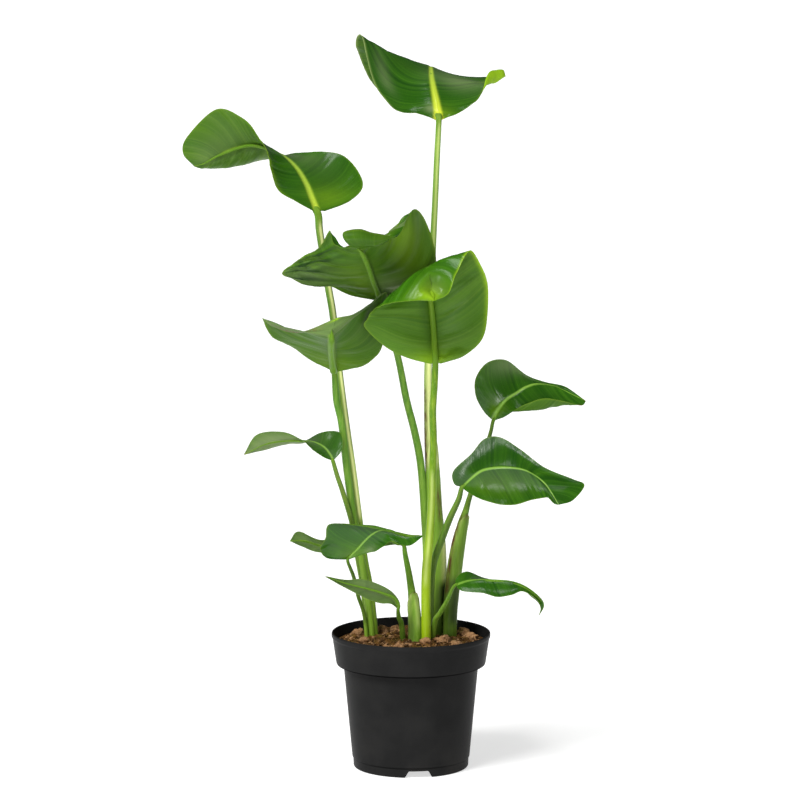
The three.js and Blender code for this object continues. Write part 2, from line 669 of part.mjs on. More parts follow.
/** One angular lump of bark, squashed and turned at random, half sunk into the mix. */
function chunkSolid(x, y, size, random) {
  const large = size > SOIL.chunkLarge;
  const lump = large ? new THREE.IcosahedronGeometry(1, 0) : new THREE.OctahedronGeometry(1, 0);
  const between = ([low, high]) => THREE.MathUtils.lerp(low, high, random());
  const { length, width, height } = CHUNK;
  lump.scale(size * between(length), size * between(width), size * between(height));
  lump.rotateX(between(CHUNK.tilt));
  lump.rotateY(between(CHUNK.tilt));
  lump.rotateZ(2 * Math.PI * random());
  lump.translate(x, y, soilHeight(x, y) + CHUNK.proud * size);
  return toSolid(lump);
}

function soilSolid(stems) {
  const random = seededRandom(SOIL.seed);
  const reach = bandInside(SOIL.edgeHeight) - SOIL.wallMargin;
  let soil = soilBody();
  for (const [x, y, size] of BIG_CHUNKS) soil = soil.add(chunkSolid(x, y, size, random));
  for (let k = 0; k < SOIL.chunks; k++) {
    const radius = reach * Math.sqrt(random());
    const angle = 2 * Math.PI * random();
    const size = THREE.MathUtils.lerp(SOIL.chunkSmall, SOIL.chunkLarge, random() ** 2);
    soil = soil.add(chunkSolid(radius * Math.cos(angle), radius * Math.sin(angle), size, random));
  }
  for (const stem of stems) soil = soil.subtract(stem);
  return largest(soil);
}

// ---------- assembly ----------
const stems = LEAVES.map((leaf) => stalkSolid(leaf, CLEARANCE));
addPiece('pot', toGeometry(potSolid()), FINISH.pot);
addPiece('potting_mix', toGeometry(soilSolid(stems)), FINISH.soil);

const leafByName = Object.fromEntries(LEAVES.map((leaf) => [leaf.name, leaf]));
for (const leaf of LEAVES) {
  let stalk = stalkSolid(leaf);
  for (const other of GIVES_WAY_TO[leaf.name] ?? []) {
    stalk = stalk.subtract(stalkSolid(leafByName[other], CLEARANCE));
  }
  const blade = bladeSolid(leaf).subtract(stalkSolid(leaf, CLEARANCE));
  addPiece(`stalk_${leaf.name}`, toGeometry(largest(stalk)), FINISH[leaf.stalkFinish ?? 'stalk']);
  addPiece(`blade_${leaf.name}`, toGeometry(largest(blade)), FINISH[leaf.blade]);
}

export default group;
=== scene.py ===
"""Potted bird of paradise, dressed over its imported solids.

Metres, +Z up. The origin is on the pot's axis, at the middle of its underside, and the
plant is seen from -Y. Twelve leaves stand on channelled stalks in a black nursery pot of
bark mix. Each new shape is a grid of points worked out with numpy as whole arrays.
"""
import math

import bmesh
import bpy
import numpy as np
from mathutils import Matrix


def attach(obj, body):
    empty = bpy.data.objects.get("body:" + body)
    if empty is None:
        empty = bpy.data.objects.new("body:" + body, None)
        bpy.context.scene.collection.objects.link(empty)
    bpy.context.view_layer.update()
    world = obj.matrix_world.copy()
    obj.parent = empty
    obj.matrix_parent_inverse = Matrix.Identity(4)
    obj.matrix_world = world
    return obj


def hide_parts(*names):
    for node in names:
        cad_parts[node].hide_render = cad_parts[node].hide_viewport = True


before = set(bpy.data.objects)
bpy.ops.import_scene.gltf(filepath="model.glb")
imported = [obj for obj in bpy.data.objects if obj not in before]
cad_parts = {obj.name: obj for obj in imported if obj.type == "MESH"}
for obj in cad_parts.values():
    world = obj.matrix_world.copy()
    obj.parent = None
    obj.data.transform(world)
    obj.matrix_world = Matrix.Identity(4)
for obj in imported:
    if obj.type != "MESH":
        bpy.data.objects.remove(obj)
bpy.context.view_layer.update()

# ---------- sizes, in millimetres as in the part's source ----------
MM = 0.001
WELD_REACH = 1e-6  # metres between points that a weld joins

# Radii and heights of the pot. A pair says how far a corner is bevelled across, and how far
# up or down. draft is how much the foot, and the first millimetres of the band, widen on
# the way up. floor_edges are how far inside the foot the wall's floor ends below and above,
# and floor_reach how far the floor's sectors stay outside the disc and inside the foot.
# disc is the flat middle of the underside, with its slope, its flange into the floor and its
# own thickness. notch_flat and notch_foot are half the width of a drain notch at its top and
# at the ground, and notch_turn is where the first one lies, in degrees from the front
# towards the right.
POT = dict(
    height=180.0, rim=105.0, lip=2.4, wall=1.5, rim_round=(0.8, 1.2), lip_round=(0.5, 2.0),
    bead=5.5, bead_blend=2.0, bead_swell=1.3,
    band=99.0, band_bottom=137.5, band_bevel=(1.8, 1.2), band_round=3.4, band_inner=(1.0, 4.0),
    body_top=89.3, body_bottom=77.4, draft=0.4,
    foot=76.2, foot_height=12.0, foot_ring=3.4, foot_bevel=(1.2, 1.4),
    floor_rise=9.5, floor_thick=1.6, floor_edges=(4.0, 4.2), floor_reach=3.6,
    disc=20.0, disc_slope=4.0, disc_flange=1.0, disc_thick=1.4,
    drains=6, drain_radius=5.0, drain_circle=52.0,
    notches=3, notch_flat=13.0, notch_foot=18.0, notch_height=9.0, notch_turn=7.5,
)

# The mix: height of its edge, how far its mound rises over that, gap to the pot, depth of
# the stalks in it, and humps and crumbs on its surface. The broad hump is a height, a length
# and a phase across, and a length towards the viewer, the slant one a height and a length,
# and each crumb size a height, a length and a seed. worn_edge is how much lower the crumbs
# lie at the wall.
SOIL = dict(
    edge=167.0, mound=7.0, gap=0.35, depth=36.0,
    broad_hump=(1.1, 9.0, 1.3, 7.0), slant_hump=(0.8, 15.0),
    crumbs=[(1.5, 15, 3), (1.1, 6, 4), (0.6, 2.8, 5)], worn_edge=1.0,
)

# Where a blade begins and ends along its outline curves.
BLADE_FROM, BLADE_TO = 0.02, 0.996

# ---------- the twelve leaves ----------
# Three curves span each blade from its base to its tip: the midrib and the two edges, as
# seen on the glossy upper face with the tip up. bow is how far each half swells towards the
# upper face, wave the height and the number of the ripples along the edge, and rows how many
# rows of points the blade has. stalk runs from the blade to the root: x, y, z, radius.
LEAVES = [
    dict(
        name="crown", slot="leaf", rows=170, bow=[-5, -5], wave=(1.6, 5),
        rib=[[37, 8, 856], [34, 20, 874], [30, 34, 893], [27, 50, 910], [26, 72, 923],
             [25, 104, 914], [24, 134, 894], [24, 154, 877], [23, 168, 866]],
        left=[[8, 14, 866], [-23, 18, 871], [-48, 30, 903], [-66, 58, 962], [-72, 82, 947],
              [-54, 116, 903], [-25, 146, 877]],
        right=[[60, 16, 863], [84, 26, 878], [97, 42, 896], [109, 56, 902], [124, 72, 908],
               [102, 112, 897], [68, 142, 880]],
        stalk=[[36, 9, 854, 3.8], [33.6, 14, 803, 3.9], [31.4, 16, 750, 4], [29, 18, 698, 4.2],
               [27, 20, 645, 4.3], [25, 20, 592, 4.4], [22.5, 20, 537, 4.9], [22.5, 20, 486, 5.4],
               [25, 20, 433, 7.4], [28, 21, 386, 9], [30, 22, 339, 10], [32.5, 23, 286, 12.2],
               [33, 24, 231, 12.8], [33, 24, 164, 13.5]],
    ),
    dict(
        name="upper_left", slot="leaf", rows=170, bow=[-3, -6], wave=(1, 4),
        rib=[[-121, 0, 734], [-129, 6, 754], [-137, 12, 773], [-150, 18, 793], [-169, 22, 811],
             [-189, 24, 821], [-213, 24, 822], [-239, 20, 815], [-261, 14, 803], [-271, 12, 798],
             [-283, 10, 795]],
        left=[[-150, -6, 750], [-172, -10, 765], [-182, -14, 792], [-188, -10, 817],
              [-200, -4, 838], [-221, 4, 859], [-254, 8, 869], [-291, 8, 834], [-297, 8, 812]],
        right=[[-79, 12, 750], [-63, 22, 773.5], [-91, 34, 808], [-146, 44, 811], [-190, 46, 801],
               [-220, 38, 795], [-247, 28, 791], [-268, 20, 791], [-275, 15, 792]],
        stalk=[[-121, 0, 732, 5], [-119, 2, 708, 4.9], [-108.5, 5, 639, 4.8], [-102, 6, 599, 4.8],
               [-94.5, 8, 529, 4.5], [-85.6, 10, 457, 4.7], [-77, 12, 394, 4.9],
               [-70.5, 14, 341, 5], [-62.7, 15, 278, 5.3], [-54, 15, 224, 6],
               [-46, 15, 166, 6.5]],
    ),
    dict(
        name="middle", slot="leaf_underside", rows=170, bow=[-3, 0], wave=(1.5, 6),
        rib=[[-41, -38, 623.5], [-44, -48, 639], [-49, -62, 653], [-54, -78, 669],
             [-59, -92, 683], [-62, -98, 689], [-64, -104, 694], [-67, -108, 698],
             [-70, -112, 700], [-76, -115, 701], [-81, -117, 702]],
        left=[[-14, -40, 631], [9, -44, 646], [31, -48, 668], [23, -58, 720], [5, -74, 746],
              [-7, -86, 730], [-18, -96, 713], [-40, -106, 703], [-63, -114, 700]],
        right=[[-77, -44, 631], [-110, -55, 645], [-139, -62, 648], [-166, -70, 663],
               [-148, -83, 678], [-117, -97, 700], [-105, -104, 719], [-98.5, -110, 705],
               [-90, -115, 699]],
        roll_right=[[-60, -49, 633], [-80, -63, 645], [-96, -76, 653], [-112, -86, 668],
                    [-103, -95, 679], [-90, -102, 689], [-86, -107, 693], [-84, -112, 693],
                    [-83, -116, 697]],
        stalk=[[-41, -37, 622.5, 3.4], [-35, -34, 605, 3.8], [-18, -20, 551, 4.3],
               [-6, -6, 490, 4.7], [5, 4, 445, 4.9], [13, 12, 400, 5], [18, 18, 332, 5],
               [21, 26, 263, 5.2], [20, 32, 162, 6]],
    ),
    dict(
        name="centre", slot="leaf_underside", rows=180, young=True, bow=[0, 0], wave=(1, 4),
        rib=[[32, -66, 543], [30, -60, 562], [29, -56, 584], [27, -55, 607], [24, -58, 632],
             [22, -68, 654], [21, -88, 673], [22, -112, 668], [25, -128, 652], [29, -134, 633]],
        left=[[68, -62, 555], [92, -62, 577], [98.5, -64, 612], [98, -70, 650], [89.5, -80, 673],
              [74, -96, 694], [57, -116, 666], [47, -131, 643]],
        right=[[-6, -64, 552.5], [-35, -66, 568], [-60, -72, 593], [-57, -78, 604],
               [-48, -88, 617], [-39, -102, 624], [-18, -122, 630], [5, -134, 634]],
        # both halves arch up where the tip folds over towards the viewer
        roll_left=[[47, -66, 557], [60, -69, 581], [62, -74, 611], [61, -79, 642], [55, -77, 666],
                   [47, -90, 687], [39, -112, 669], [36, -130, 649]],
        roll_right=[[13, -67, 557], [-3, -71, 576], [-16, -77, 600], [-15, -81, 616],
                    [-15, -75, 635], [-9, -96, 660], [-1, -120, 651], [15, -132, 645]],
        stalk=[[31, -66, 542, 4.2], [30, -60, 516, 4.4], [28, -54, 482, 4.6], [29, -46, 441, 4.7],
               [28, -40, 400, 4.9], [27, -35, 358, 5.2], [24, -31, 311, 5.6], [20, -29, 266, 6],
               [19.5, -29, 219, 6.2], [20.5, -30, 165, 6.4]],
    ),
    dict(
        name="mid_left", slot="leaf_underside", rows=160, bow=[0, 0], wave=(1, 4),
        rib=[[-100, -15, 528], [-101, -30, 543], [-102, -50, 557], [-103, -72, 570],
             [-103, -96, 582], [-102, -99, 591], [-99, -95, 598], [-95, -88, 607]],
        left=[[-80, -20, 532], [-55, -26, 542], [-37, -36, 566], [-31, -56, 634], [-51, -70, 623],
              [-74, -80, 611]],
        right=[[-128, -24, 543], [-155, -37, 563], [-182, -50, 581], [-192, -64, 604],
               [-177, -70, 593], [-143, -81, 587.5]],
        roll_right=[[-114.5, -27, 543], [-128.5, -43.5, 560], [-142.5, -61, 575.5],
                    [-147.5, -80, 586], [-139.5, -84.5, 584], [-121, -88, 588]],
        stalk=[[-100, -15, 527, 4], [-97.5, -10, 490, 4.6], [-91, -6, 459, 4.8], [-84, 0, 396, 5],
               [-77, 4, 342, 5], [-66.5, 9, 279, 5.2], [-57.5, 10, 225, 5.4],
               [-49, 10, 167, 5.6]],
    ),
    dict(
        name="small_left", slot="leaf", rows=120, bow=[-2, -3], wave=(0.5, 3),
        rib=[[-102, -18, 411], [-106, -20, 420], [-114, -22, 430], [-126, -24, 437],
             [-140, -26, 440], [-161, -30, 440], [-187, -36, 437], [-218, -44, 423]],
        left=[[-113, -24, 416], [-125, -30, 425], [-135, -32, 434], [-145, -30, 442],
              [-168, -30, 451], [-201, -34, 448]],
        right=[[-90, -20, 427], [-93, -16, 448], [-117, -6, 447], [-142, -6, 435],
               [-164, -16, 433], [-190, -26, 427]],
        stalk=[[-102, -18, 410, 2.6], [-96.6, -14, 390, 3], [-89.5, -9, 368, 3.3],
               [-77.5, 1, 324, 3.5], [-70.5, 8, 279, 3.6], [-62, 14, 224, 3.7],
               [-54, 20, 167, 3.8]],
    ),
    dict(
        name="low_left", slot="leaf", rows=120, bow=[-4, -2], wave=(0.8, 3),
        rib=[[-83, -26, 281], [-79, -32, 288], [-70, -38, 298], [-61, -44, 309], [-51, -50, 319],
             [-39, -55, 325], [-21, -60, 323], [-3, -64, 319.5], [17, -68, 321]],
        left=[[-110, -30, 284], [-119, -36, 297], [-112, -40, 312], [-107, -42, 331],
              [-77, -50, 331], [-38, -58, 326], [-9, -62, 319]],
        right=[[-69, -38, 288], [-55, -46, 294], [-46, -52, 297], [-37, -58, 304],
               [-25, -62, 312], [-14, -66, 308], [0, -68, 308]],
        stalk=[[-83, -26, 279, 2.1], [-75.5, -18, 257, 2.5], [-69.5, -8, 229, 2.6],
               [-61, 2, 197, 2.6], [-56, 6, 168, 2.8]],
    ),
    dict(
        name="lowest_left", slot="leaf_underside", rows=100, bow=[2, 2], wave=(0.4, 3),
        rib=[[-17, -52, 220], [-22, -55, 233], [-33, -58, 240], [-48, -62, 246], [-68, -66, 252],
             [-89, -69, 258], [-112, -74, 268]],
        left=[[-15, -48, 229], [-26, -52, 244], [-44, -56, 255], [-67, -62, 262],
              [-85, -68, 262]],
        right=[[-26, -62, 229], [-41, -66, 231], [-59, -70, 238], [-77, -72, 248],
               [-94, -73, 257]],
        stalk=[[-17, -52, 219, 2.3], [-16, -40, 207, 3.1], [-12, -24, 190, 3.5],
               [-8, -8, 164, 3.9]],
    ),
    dict(
        name="back_left", slot="leaf_underside", rows=100, bow=[2, 2], wave=(0.6, 3),
        rib=[[-11, 14, 295], [-34, 20, 302], [-74, 28, 294], [-114, 34, 289], [-141, 34, 296],
             [-161, 32, 296]],
        left=[[-33, 16, 312], [-74, 22, 308], [-118, 30, 298], [-149, 30, 309]],
        right=[[-33, 24, 291], [-78, 34, 280], [-124, 38, 280], [-145, 36, 288]],
        stalk=[[-10, 14, 294, 2.6], [-7.5, 9, 281, 3.4], [-3, 1, 259, 4.2], [0.5, -7, 238, 5],
               [3, -13, 220, 6.6], [5, -22, 195, 7.2], [5.5, -33, 162, 7.8]],
    ),
    dict(
        name="upper_right", slot="leaf", rows=160, bow=[-4, 0], wave=(0.6, 4),
        rib=[[108, 18, 459], [112, 14, 470], [119, 10, 481], [127, 8, 490], [138, 8, 497],
             [151, 10, 505], [167, 14, 509], [189, 16, 506], [209, 14, 496], [230, 12, 486]],
        left=[[96, 12, 472], [85, 8, 493], [85, 10, 517], [101, 16, 537], [125, 22, 539],
              [151, 22, 520], [179, 20, 510], [204, 16, 504]],
        right=[[121, 6, 465], [131, 0, 472], [145, -12, 483], [162, -18, 491], [179, -16, 493],
               [195, -8, 490], [212, 2, 484], [225, 8, 481]],
        # the right half rolls up towards the viewer around these points
        roll_right=[[117, 10, 466], [126, 3, 471], [139, -6, 464], [153, -12, 458],
                    [169, -10, 457], [184, -2, 464], [201, 4, 475], [218, 8, 484]],
        stalk=[[108, 18, 458, 2.4], [104, 18, 440, 2.6], [91, 17, 399, 2.9], [78.5, 16, 361, 3.4],
               [72.7, 16, 340, 4.3], [66.2, 15, 314, 7], [58.5, 13, 265, 8.3],
               [53.5, 11, 220, 8.1], [52, 10, 193, 7.8], [51, 10, 159, 7.6]],
    ),
    dict(
        name="mid_right", slot="leaf", rows=160, bow=[-4, -5], wave=(0.8, 4),
        rib=[[66, -42, 380], [73, -48, 388], [82, -54, 397], [93, -60, 405], [109, -66, 409],
             [127, -71, 410], [145, -75, 408], [160, -78, 401], [173, -80, 390], [181, -81, 379],
             [186, -82, 371], [191, -82, 363]],
        left=[[56, -44, 385], [55, -46, 402], [78, -50, 425], [95, -54, 445], [115, -58, 448],
              [140, -64, 434], [171, -70, 411], [209, -76, 396], [224, -78, 388],
              [209, -82, 369]],
        right=[[73, -50, 375], [87, -58, 368], [102, -64, 364], [119, -70, 361], [136, -74, 362],
               [154, -76, 368], [169, -78, 371], [177, -80, 372], [182, -82, 367],
               [186, -82, 364]],
        stalk=[[66, -42, 379, 3], [62, -38, 363, 3.6], [50, -30, 335, 4.4], [39.5, -22, 305, 4.6],
               [29, -11, 270, 4.6], [26, -3, 223, 4.4], [25, 0, 169, 4.4]],
    ),
    dict(
        name="low_right", slot="leaf", rows=130, bow=[-2, -3], wave=(0.4, 3),
        rib=[[57, -64, 254], [64, -68, 258], [74, -72, 262], [89, -77, 265], [109, -80, 265],
             [128, -84, 264], [145, -86, 259], [159, -88, 250], [170, -88, 239], [172, -88, 230],
             [166, -88, 219]],
        left=[[60, -58, 264], [73, -52, 270], [93, -50, 262.5], [111, -54, 258.5],
              [129, -58, 254], [145, -64, 250], [157, -72, 240], [165, -80, 234],
              [168, -85, 227]],
        right=[[65, -74, 249], [78, -80, 248], [93, -86, 248], [111, -92, 244], [129, -94, 247],
               [143, -94, 252], [154, -93, 247], [164, -92, 239], [168, -90, 230]],
        stalk=[[56, -64, 253, 2], [47, -50, 231, 2.6], [38, -36, 212, 3.2], [30, -22, 192, 4],
               [25, -12, 167, 4.6]],
    ),
]

# How each leaf has grown. rib is the half width of the midrib at the base and at the tip,
# and how quickly it narrows; rib_stop is where it stops, rib_glow how pale it is at its base
# and further on, and gold how yellow. pleat is the height of the broad and of the fine folds
# between the veins, and the broad ones are darkened in their hollows by painted shade, which
# a leaf may set. tone runs from 0, old and dark, to 1, young and bright. lines is how
# strongly dark lines run between the veins, and turned where the blade turns over: past it
# the blade is painted paler, as if lit, with a painted highlight along the fold. gather is a
# corner that folds run to: its place, how many there are, their height and how far they
# reach, with painted shade in their hollows. The lists are soft patches: share of the
# length, share of the half width with the left side negative, reach along and across,
# strength. Sun patches are painted light, as where light comes through the blade; shade
# patches are painted shade; pale ones are greyish, partly the leaf's own bloom and partly a
# painted sheen and highlights; dry ones are brown, and dent ones are hollowed by that many
# millimetres.
GROWTH = {
    "crown": dict(
        rib=(7.8, 1.2, 2.2), rib_glow=(1.0, 0.6), gold=1.0, pleat=(0.5, 0.25), tone=0.12,
        lines=0.9,
        sun=[(0.06, 0.5, 0.08, 0.5, 0.3), (0.5, 1.0, 0.05, 0.12, 0.8)],
        dry=[(0.62, 1.0, 0.02, 0.05, 0.6)], shade=[(0.45, -0.3, 0.05, 0.7, 0.35)],
        # these pale patches are painted: grey sheen at the top right, a highlight along the left
        # fold, sheen and highlight low on the left half
        pale=[(0.42, 0.5, 0.1, 0.5, 0.4), (0.55, -1.0, 0.3, 0.02, 0.8),
              (0.12, -0.35, 0.04, 0.25, 0.5), (0.4, -0.78, 0.07, 0.1, 0.3)],
        dent=[(0.1, -0.85, 0.09, 0.3, 3.5), (0.05, -0.5, 0.07, 0.35, 2.5),
              (0.05, 0.7, 0.04, 0.25, 2.5), (0.22, -0.9, 0.06, 0.2, 3.0)],
    ),
    "upper_left": dict(
        rib=(4.8, 0.6, 1.2), rib_glow=(0.9, 0.5), gold=0.6, pleat=(0.7, 0.2), tone=0.25,
        sun=[(0.35, -1.0, 0.2, 0.1, 0.4), (0.1, 0.4, 0.08, 0.6, 0.25)],
        shade=[(0.3, 0.3, 0.3, 0.5, 0.3)],
        pale=[(0.8, -0.1, 0.2, 0.5, 0.2), (0.4, 0.4, 0.12, 0.4, 0.3)],
    ),
    "middle": dict(
        rib=(3.2, 2.2, 0.8), rib_stop=0.72, pleat=(2.4, 0.3), fold_shade=0.45, tone=0.2, lines=0.6,
        gather=(0.42, 1.2, 15, 2.6, 0.7),
        sun=[(0.45, -0.6, 0.2, 0.25, 0.35), (0.2, 0.2, 0.2, 0.3, 0.2)],
        dry=[(1.0, 0.0, 0.02, 0.9, 0.9)],
        shade=[(0.12, 0.3, 0.2, 0.4, 0.35), (0.33, -0.45, 0.09, 0.6, 0.55)],
        pale=[(0.17, -0.6, 0.07, 0.5, 0.7), (0.35, 0.75, 0.12, 0.3, 0.25)],
    ),
    "centre": dict(
        rib=(3.6, 2.8, 0.8), rib_stop=0.72, pleat=(0.7, 0.2), tone=0.4,
        # on the folded flap near the tip, sun patches and the pale one paint light and highlights
        sun=[(0.94, 0.45, 0.1, 0.7, 0.5), (0.72, -1.0, 0.2, 0.05, 0.6),
             (0.45, -1.0, 0.2, 0.05, 0.7), (0.03, 0.2, 0.08, 1.0, 0.6),
             (0.98, -0.2, 0.06, 0.9, 0.5), (0.9, -0.2, 0.09, 1.0, 0.3)],
        pale=[(0.885, -0.3, 0.06, 0.4, 0.35)], shade=[(0.5, 0.12, 0.3, 0.06, 0.4)],
        dent=[(0.885, -0.3, 0.09, 0.62, 13.0), (0.1, -0.75, 0.05, 0.25, 4.0),
              (0.05, -0.35, 0.03, 0.2, 2.5)],
    ),
    "mid_left": dict(
        rib=(4.6, 3.6, 0.6), rib_stop=0.66, pleat=(0.6, 0.15), tone=0.15, turned=(0.6, 0.62),
        sun=[(0.0, 0.0, 0.25, 1.0, 0.3), (0.97, 0.0, 0.03, 0.6, 0.9)],
        shade=[(0.72, -0.75, 0.16, 0.3, 0.5), (0.4, -0.5, 0.16, 0.4, 0.2)],
        dry=[(0.8, 0.75, 0.12, 0.3, 0.6)],
    ),
    "small_left": dict(
        rib=(1.7, 0.4, 1.0), rib_glow=(0.6, 0.5), pleat=(0.2, 0.05), tone=0.05,
        dry=[(1.0, 0.0, 0.02, 1.0, 0.7)], pale=[(0.8, 0.0, 0.35, 1.0, 0.6)],
    ),
    "low_left": dict(
        rib=(2.0, 0.5, 1.0), rib_glow=(0.7, 0.55), pleat=(0.2, 0.05), tone=0.15,
        sun=[(0.1, 0.2, 0.2, 0.6, 0.2)], dent=[(0.2, -0.75, 0.09, 0.3, 2.5)],
        pale=[(0.3, 0.75, 0.12, 0.25, 0.35)],
    ),
    "lowest_left": dict(
        rib=(1.9, 0.5, 1.0), rib_glow=(0.6, 0.25), pleat=(0.15, 0.05), tone=0.1,
        dry=[(1.0, 0.0, 0.03, 1.0, 0.6)], pale=[(0.5, 0.0, 0.5, 1.5, 0.45)],
        shade=[(0.5, 0.5, 0.5, 0.5, 0.35)],
    ),
    "back_left": dict(
        rib=(2.4, 0.6, 1.0), pleat=(0.15, 0.05), tone=0.1,
        pale=[(0.7, 0.0, 0.4, 1.5, 0.3)],
    ),
    "upper_right": dict(
        rib=(3.2, 0.6, 1.2), rib_glow=(0.75, 0.9), pleat=(0.4, 0.1), tone=0.25,
        sun=[(0.1, 0.0, 0.15, 0.5, 0.3)], pale=[(0.55, -0.8, 0.15, 0.3, 0.4)],
        dry=[(0.86, 1.0, 0.03, 0.12, 1.0), (1.0, 0.0, 0.02, 1.0, 0.6)],
    ),
    "mid_right": dict(
        rib=(2.4, 0.5, 1.2), rib_glow=(0.75, 0.6), pleat=(0.25, 0.06), tone=0.05,
        sun=[(0.3, 0.5, 0.3, 0.4, 0.1)],
        dent=[(0.33, 0.62, 0.09, 0.35, 3.0), (0.72, -0.35, 0.08, 0.3, -3.0)],
        shade=[(0.25, -0.5, 0.25, 0.5, 0.4)],
    ),
    "low_right": dict(
        rib=(2.0, 0.5, 1.0), rib_glow=(0.5, 0.4), pleat=(0.12, 0.03), tone=0.1,
        dry=[(1.0, 0.0, 0.02, 1.0, 0.8)],
    ),
}

# Strips of blade that are rolled over beyond an edge, between two shares of the length:
# points of the pull that rounds them and of their own edge. pale, shade and sun are how much
# of the pale mark, of painted shade and of painted light they carry.
ROLLED = {
    "middle": [
        dict(side="left", span=(0.5, 0.66), pale=0.35, shade=0.2,
             pull=[[-4, -82, 734], [-13, -88, 724], [-24, -95, 714]],
             edge=[[-8, -80, 736], [-18, -84, 727], [-29, -90, 717]]),
        dict(side="left", span=(0.7, 0.985), shade=0.15,
             pull=[[-26, -110, 710], [-37, -120, 710], [-53, -128, 711], [-69, -131, 712],
                   [-88, -125, 710]],
             edge=[[-25, -99, 713], [-35, -102, 715], [-50, -108, 718], [-67, -112, 723],
                   [-87, -114, 718]]),
    ],
    "crown": [
        dict(side="right", span=(0.34, 0.66), sun=0.9,
             pull=[[99, 44, 906], [111, 54, 911], [124, 66, 912]],
             edge=[[101, 50, 914], [112, 62, 918], [122, 72, 917]]),
    ],
}

# Old leaf bases that wrap a stalk: height of the foot and of the pointed top, turn from the
# front towards the right and half spread in degrees, pale, dry.
SHEATHS = {
    "crown": (160, 440, 35, 115, 0.05, 0.7),
    "upper_right": (158, 337, 30, 130, 0.2, 0.7),
    "back_left": (158, 234, 25, 115, 0.35, 0.7),
}

# Streaks down the front of a stalk: mark, heights of the two ends, place across from -1 on
# the left to 1 on the right, half width, strength.
STREAKS = {
    "crown": [
        ("pale", 540, 850, 0.2, 0.5, 0.35), ("pale", 400, 545, 0.25, 0.8, 1.0),
        ("pale", 864, 905, 0.0, 2.0, 0.7),
        ("dry", 400, 500, -0.85, 0.4, 1.3), ("dry", 327, 369, 0.7, 0.35, 0.9),
        ("pale", 243, 310, 0.85, 0.25, 0.9), ("dark", 205, 243, 0.7, 0.5, 0.9),
        ("dark", 140, 205, 0.8, 0.6, 0.7),
    ],
    "upper_left": [("pale", 330, 720, 0.4, 0.4, 1.2), ("dark", 420, 720, 0.9, 0.15, 0.5),
                   ("dark", 420, 720, -0.8, 0.2, 0.4)],
    "middle": [("dark", 300, 620, -0.7, 0.5, 0.3)],
    "upper_right": [("dry", 230, 335, -0.9, 0.35, 1.2), ("dark", 140, 250, 0.0, 1.4, 0.5),
                    ("dark", 190, 335, 0.6, 0.9, 0.4), ("dark", 340, 455, 0.3, 1.4, 0.6)],
    "mid_right": [("dark", 190, 379, 0.2, 1.4, 0.65)],
    "low_right": [("dark", 170, 253, 0.2, 1.2, 0.35)],
    "small_left": [("dark", 180, 410, 0.2, 1.2, 0.35), ("dry", 180, 400, 0.0, 2.0, 0.2)],
    "low_left": [("dark", 190, 279, 0.0, 1.5, 0.6)],
    "lowest_left": [("dark", 170, 219, 0.0, 1.5, 0.35)],
    "back_left": [("pale", 190, 228, 0.6, 0.4, 0.3), ("dark", 170, 230, -0.5, 0.5, 0.4),
                  ("dark", 236, 300, 0.0, 1.5, 0.4)],
    "centre": [("pale", 250, 400, -0.1, 0.4, 0.3)],
}


# ---------- curves, waves and grids ----------
def curve(points, t):
    """Uniform Catmull-Rom curve through every point, at shares t of its spans: each point's
    slope is half the step between its neighbours, and the ends run on straight."""
    p = np.asarray(points, float)
    spans = len(p) - 1
    x = np.clip(np.asarray(t, float), 0, 1) * spans
    i = np.minimum(x.astype(int), spans - 1)
    f = (x - i)[:, None]
    p = np.vstack([2 * p[0] - p[1], p, 2 * p[-1] - p[-2]])
    a, b, c, d = p[i], p[i + 1], p[i + 2], p[i + 3]
    bend = (c - a) * f + (2 * a - 5 * b + 4 * c - d) * f**2 + (3 * b - a - 3 * c + d) * f**3
    return b + bend / 2


def arc(start, pull, end, v):
    """Parabola from start to end, drawn towards pull, at shares v of the way:
    (1-v)^2 start + 2v(1-v) pull + v^2 end."""
    return (1 - v) ** 2 * start + 2 * v * (1 - v) * pull + v**2 * end


def stepped(x, known, points):
    """Places at x on the straight steps between points whose own x are known."""
    return np.stack([np.interp(x, known, points[:, k]) for k in range(3)], -1)


def unit(vectors):
    """Each vector at length 1."""
    return vectors / np.maximum(np.linalg.norm(vectors, axis=-1, keepdims=True), 1e-12)


def squared(front, way):
    """Directions square to the way, as near to the front as they can be."""
    return unit(front - (front * way).sum(-1, keepdims=True) * way)


def around(angle, way, front):
    """Directions at angles round a way, from its front: cos(a) front + sin(a) side."""
    side = np.cross(way, front)
    return np.cos(angle)[..., None] * front[:, None] + np.sin(angle)[..., None] * side[:, None]


def facing(points):
    """Direction square to a grid of points: the cross of its steps along both ways."""
    return unit(np.cross(np.gradient(points, axis=1), np.gradient(points, axis=0)))


def ease(x, low, high):
    """0 below low, 1 above high, with a smooth cubic step between them."""
    t = np.clip((x - low) / (high - low), 0, 1)
    return t * t * (3 - 2 * t)


def bell(x, reach):
    """1 at 0, falling off on both sides as exp(-(x / reach)^2)."""
    return np.exp(-((x / reach) ** 2))


def travelled(points, axis=0):
    """Length walked along each line of points, from 0."""
    steps = np.linalg.norm(np.diff(points, axis=axis), axis=-1)
    start = np.zeros_like(np.take(steps, [0], axis=axis))
    return np.concatenate([start, np.cumsum(steps, axis=axis)], axis=axis)


def wander(x, seed, octaves=4):
    """Uneven wave between about -1 and 1: sines of x with seeded phases, each a bit over
    twice as quick and a bit over half as high as the one before."""
    random = np.random.default_rng(seed)
    total = np.zeros_like(x, dtype=float)
    for k in range(octaves):
        total = total + 0.6**k * np.sin(2.17**k * x + random.uniform(0, 2 * np.pi))
    return total / 1.8


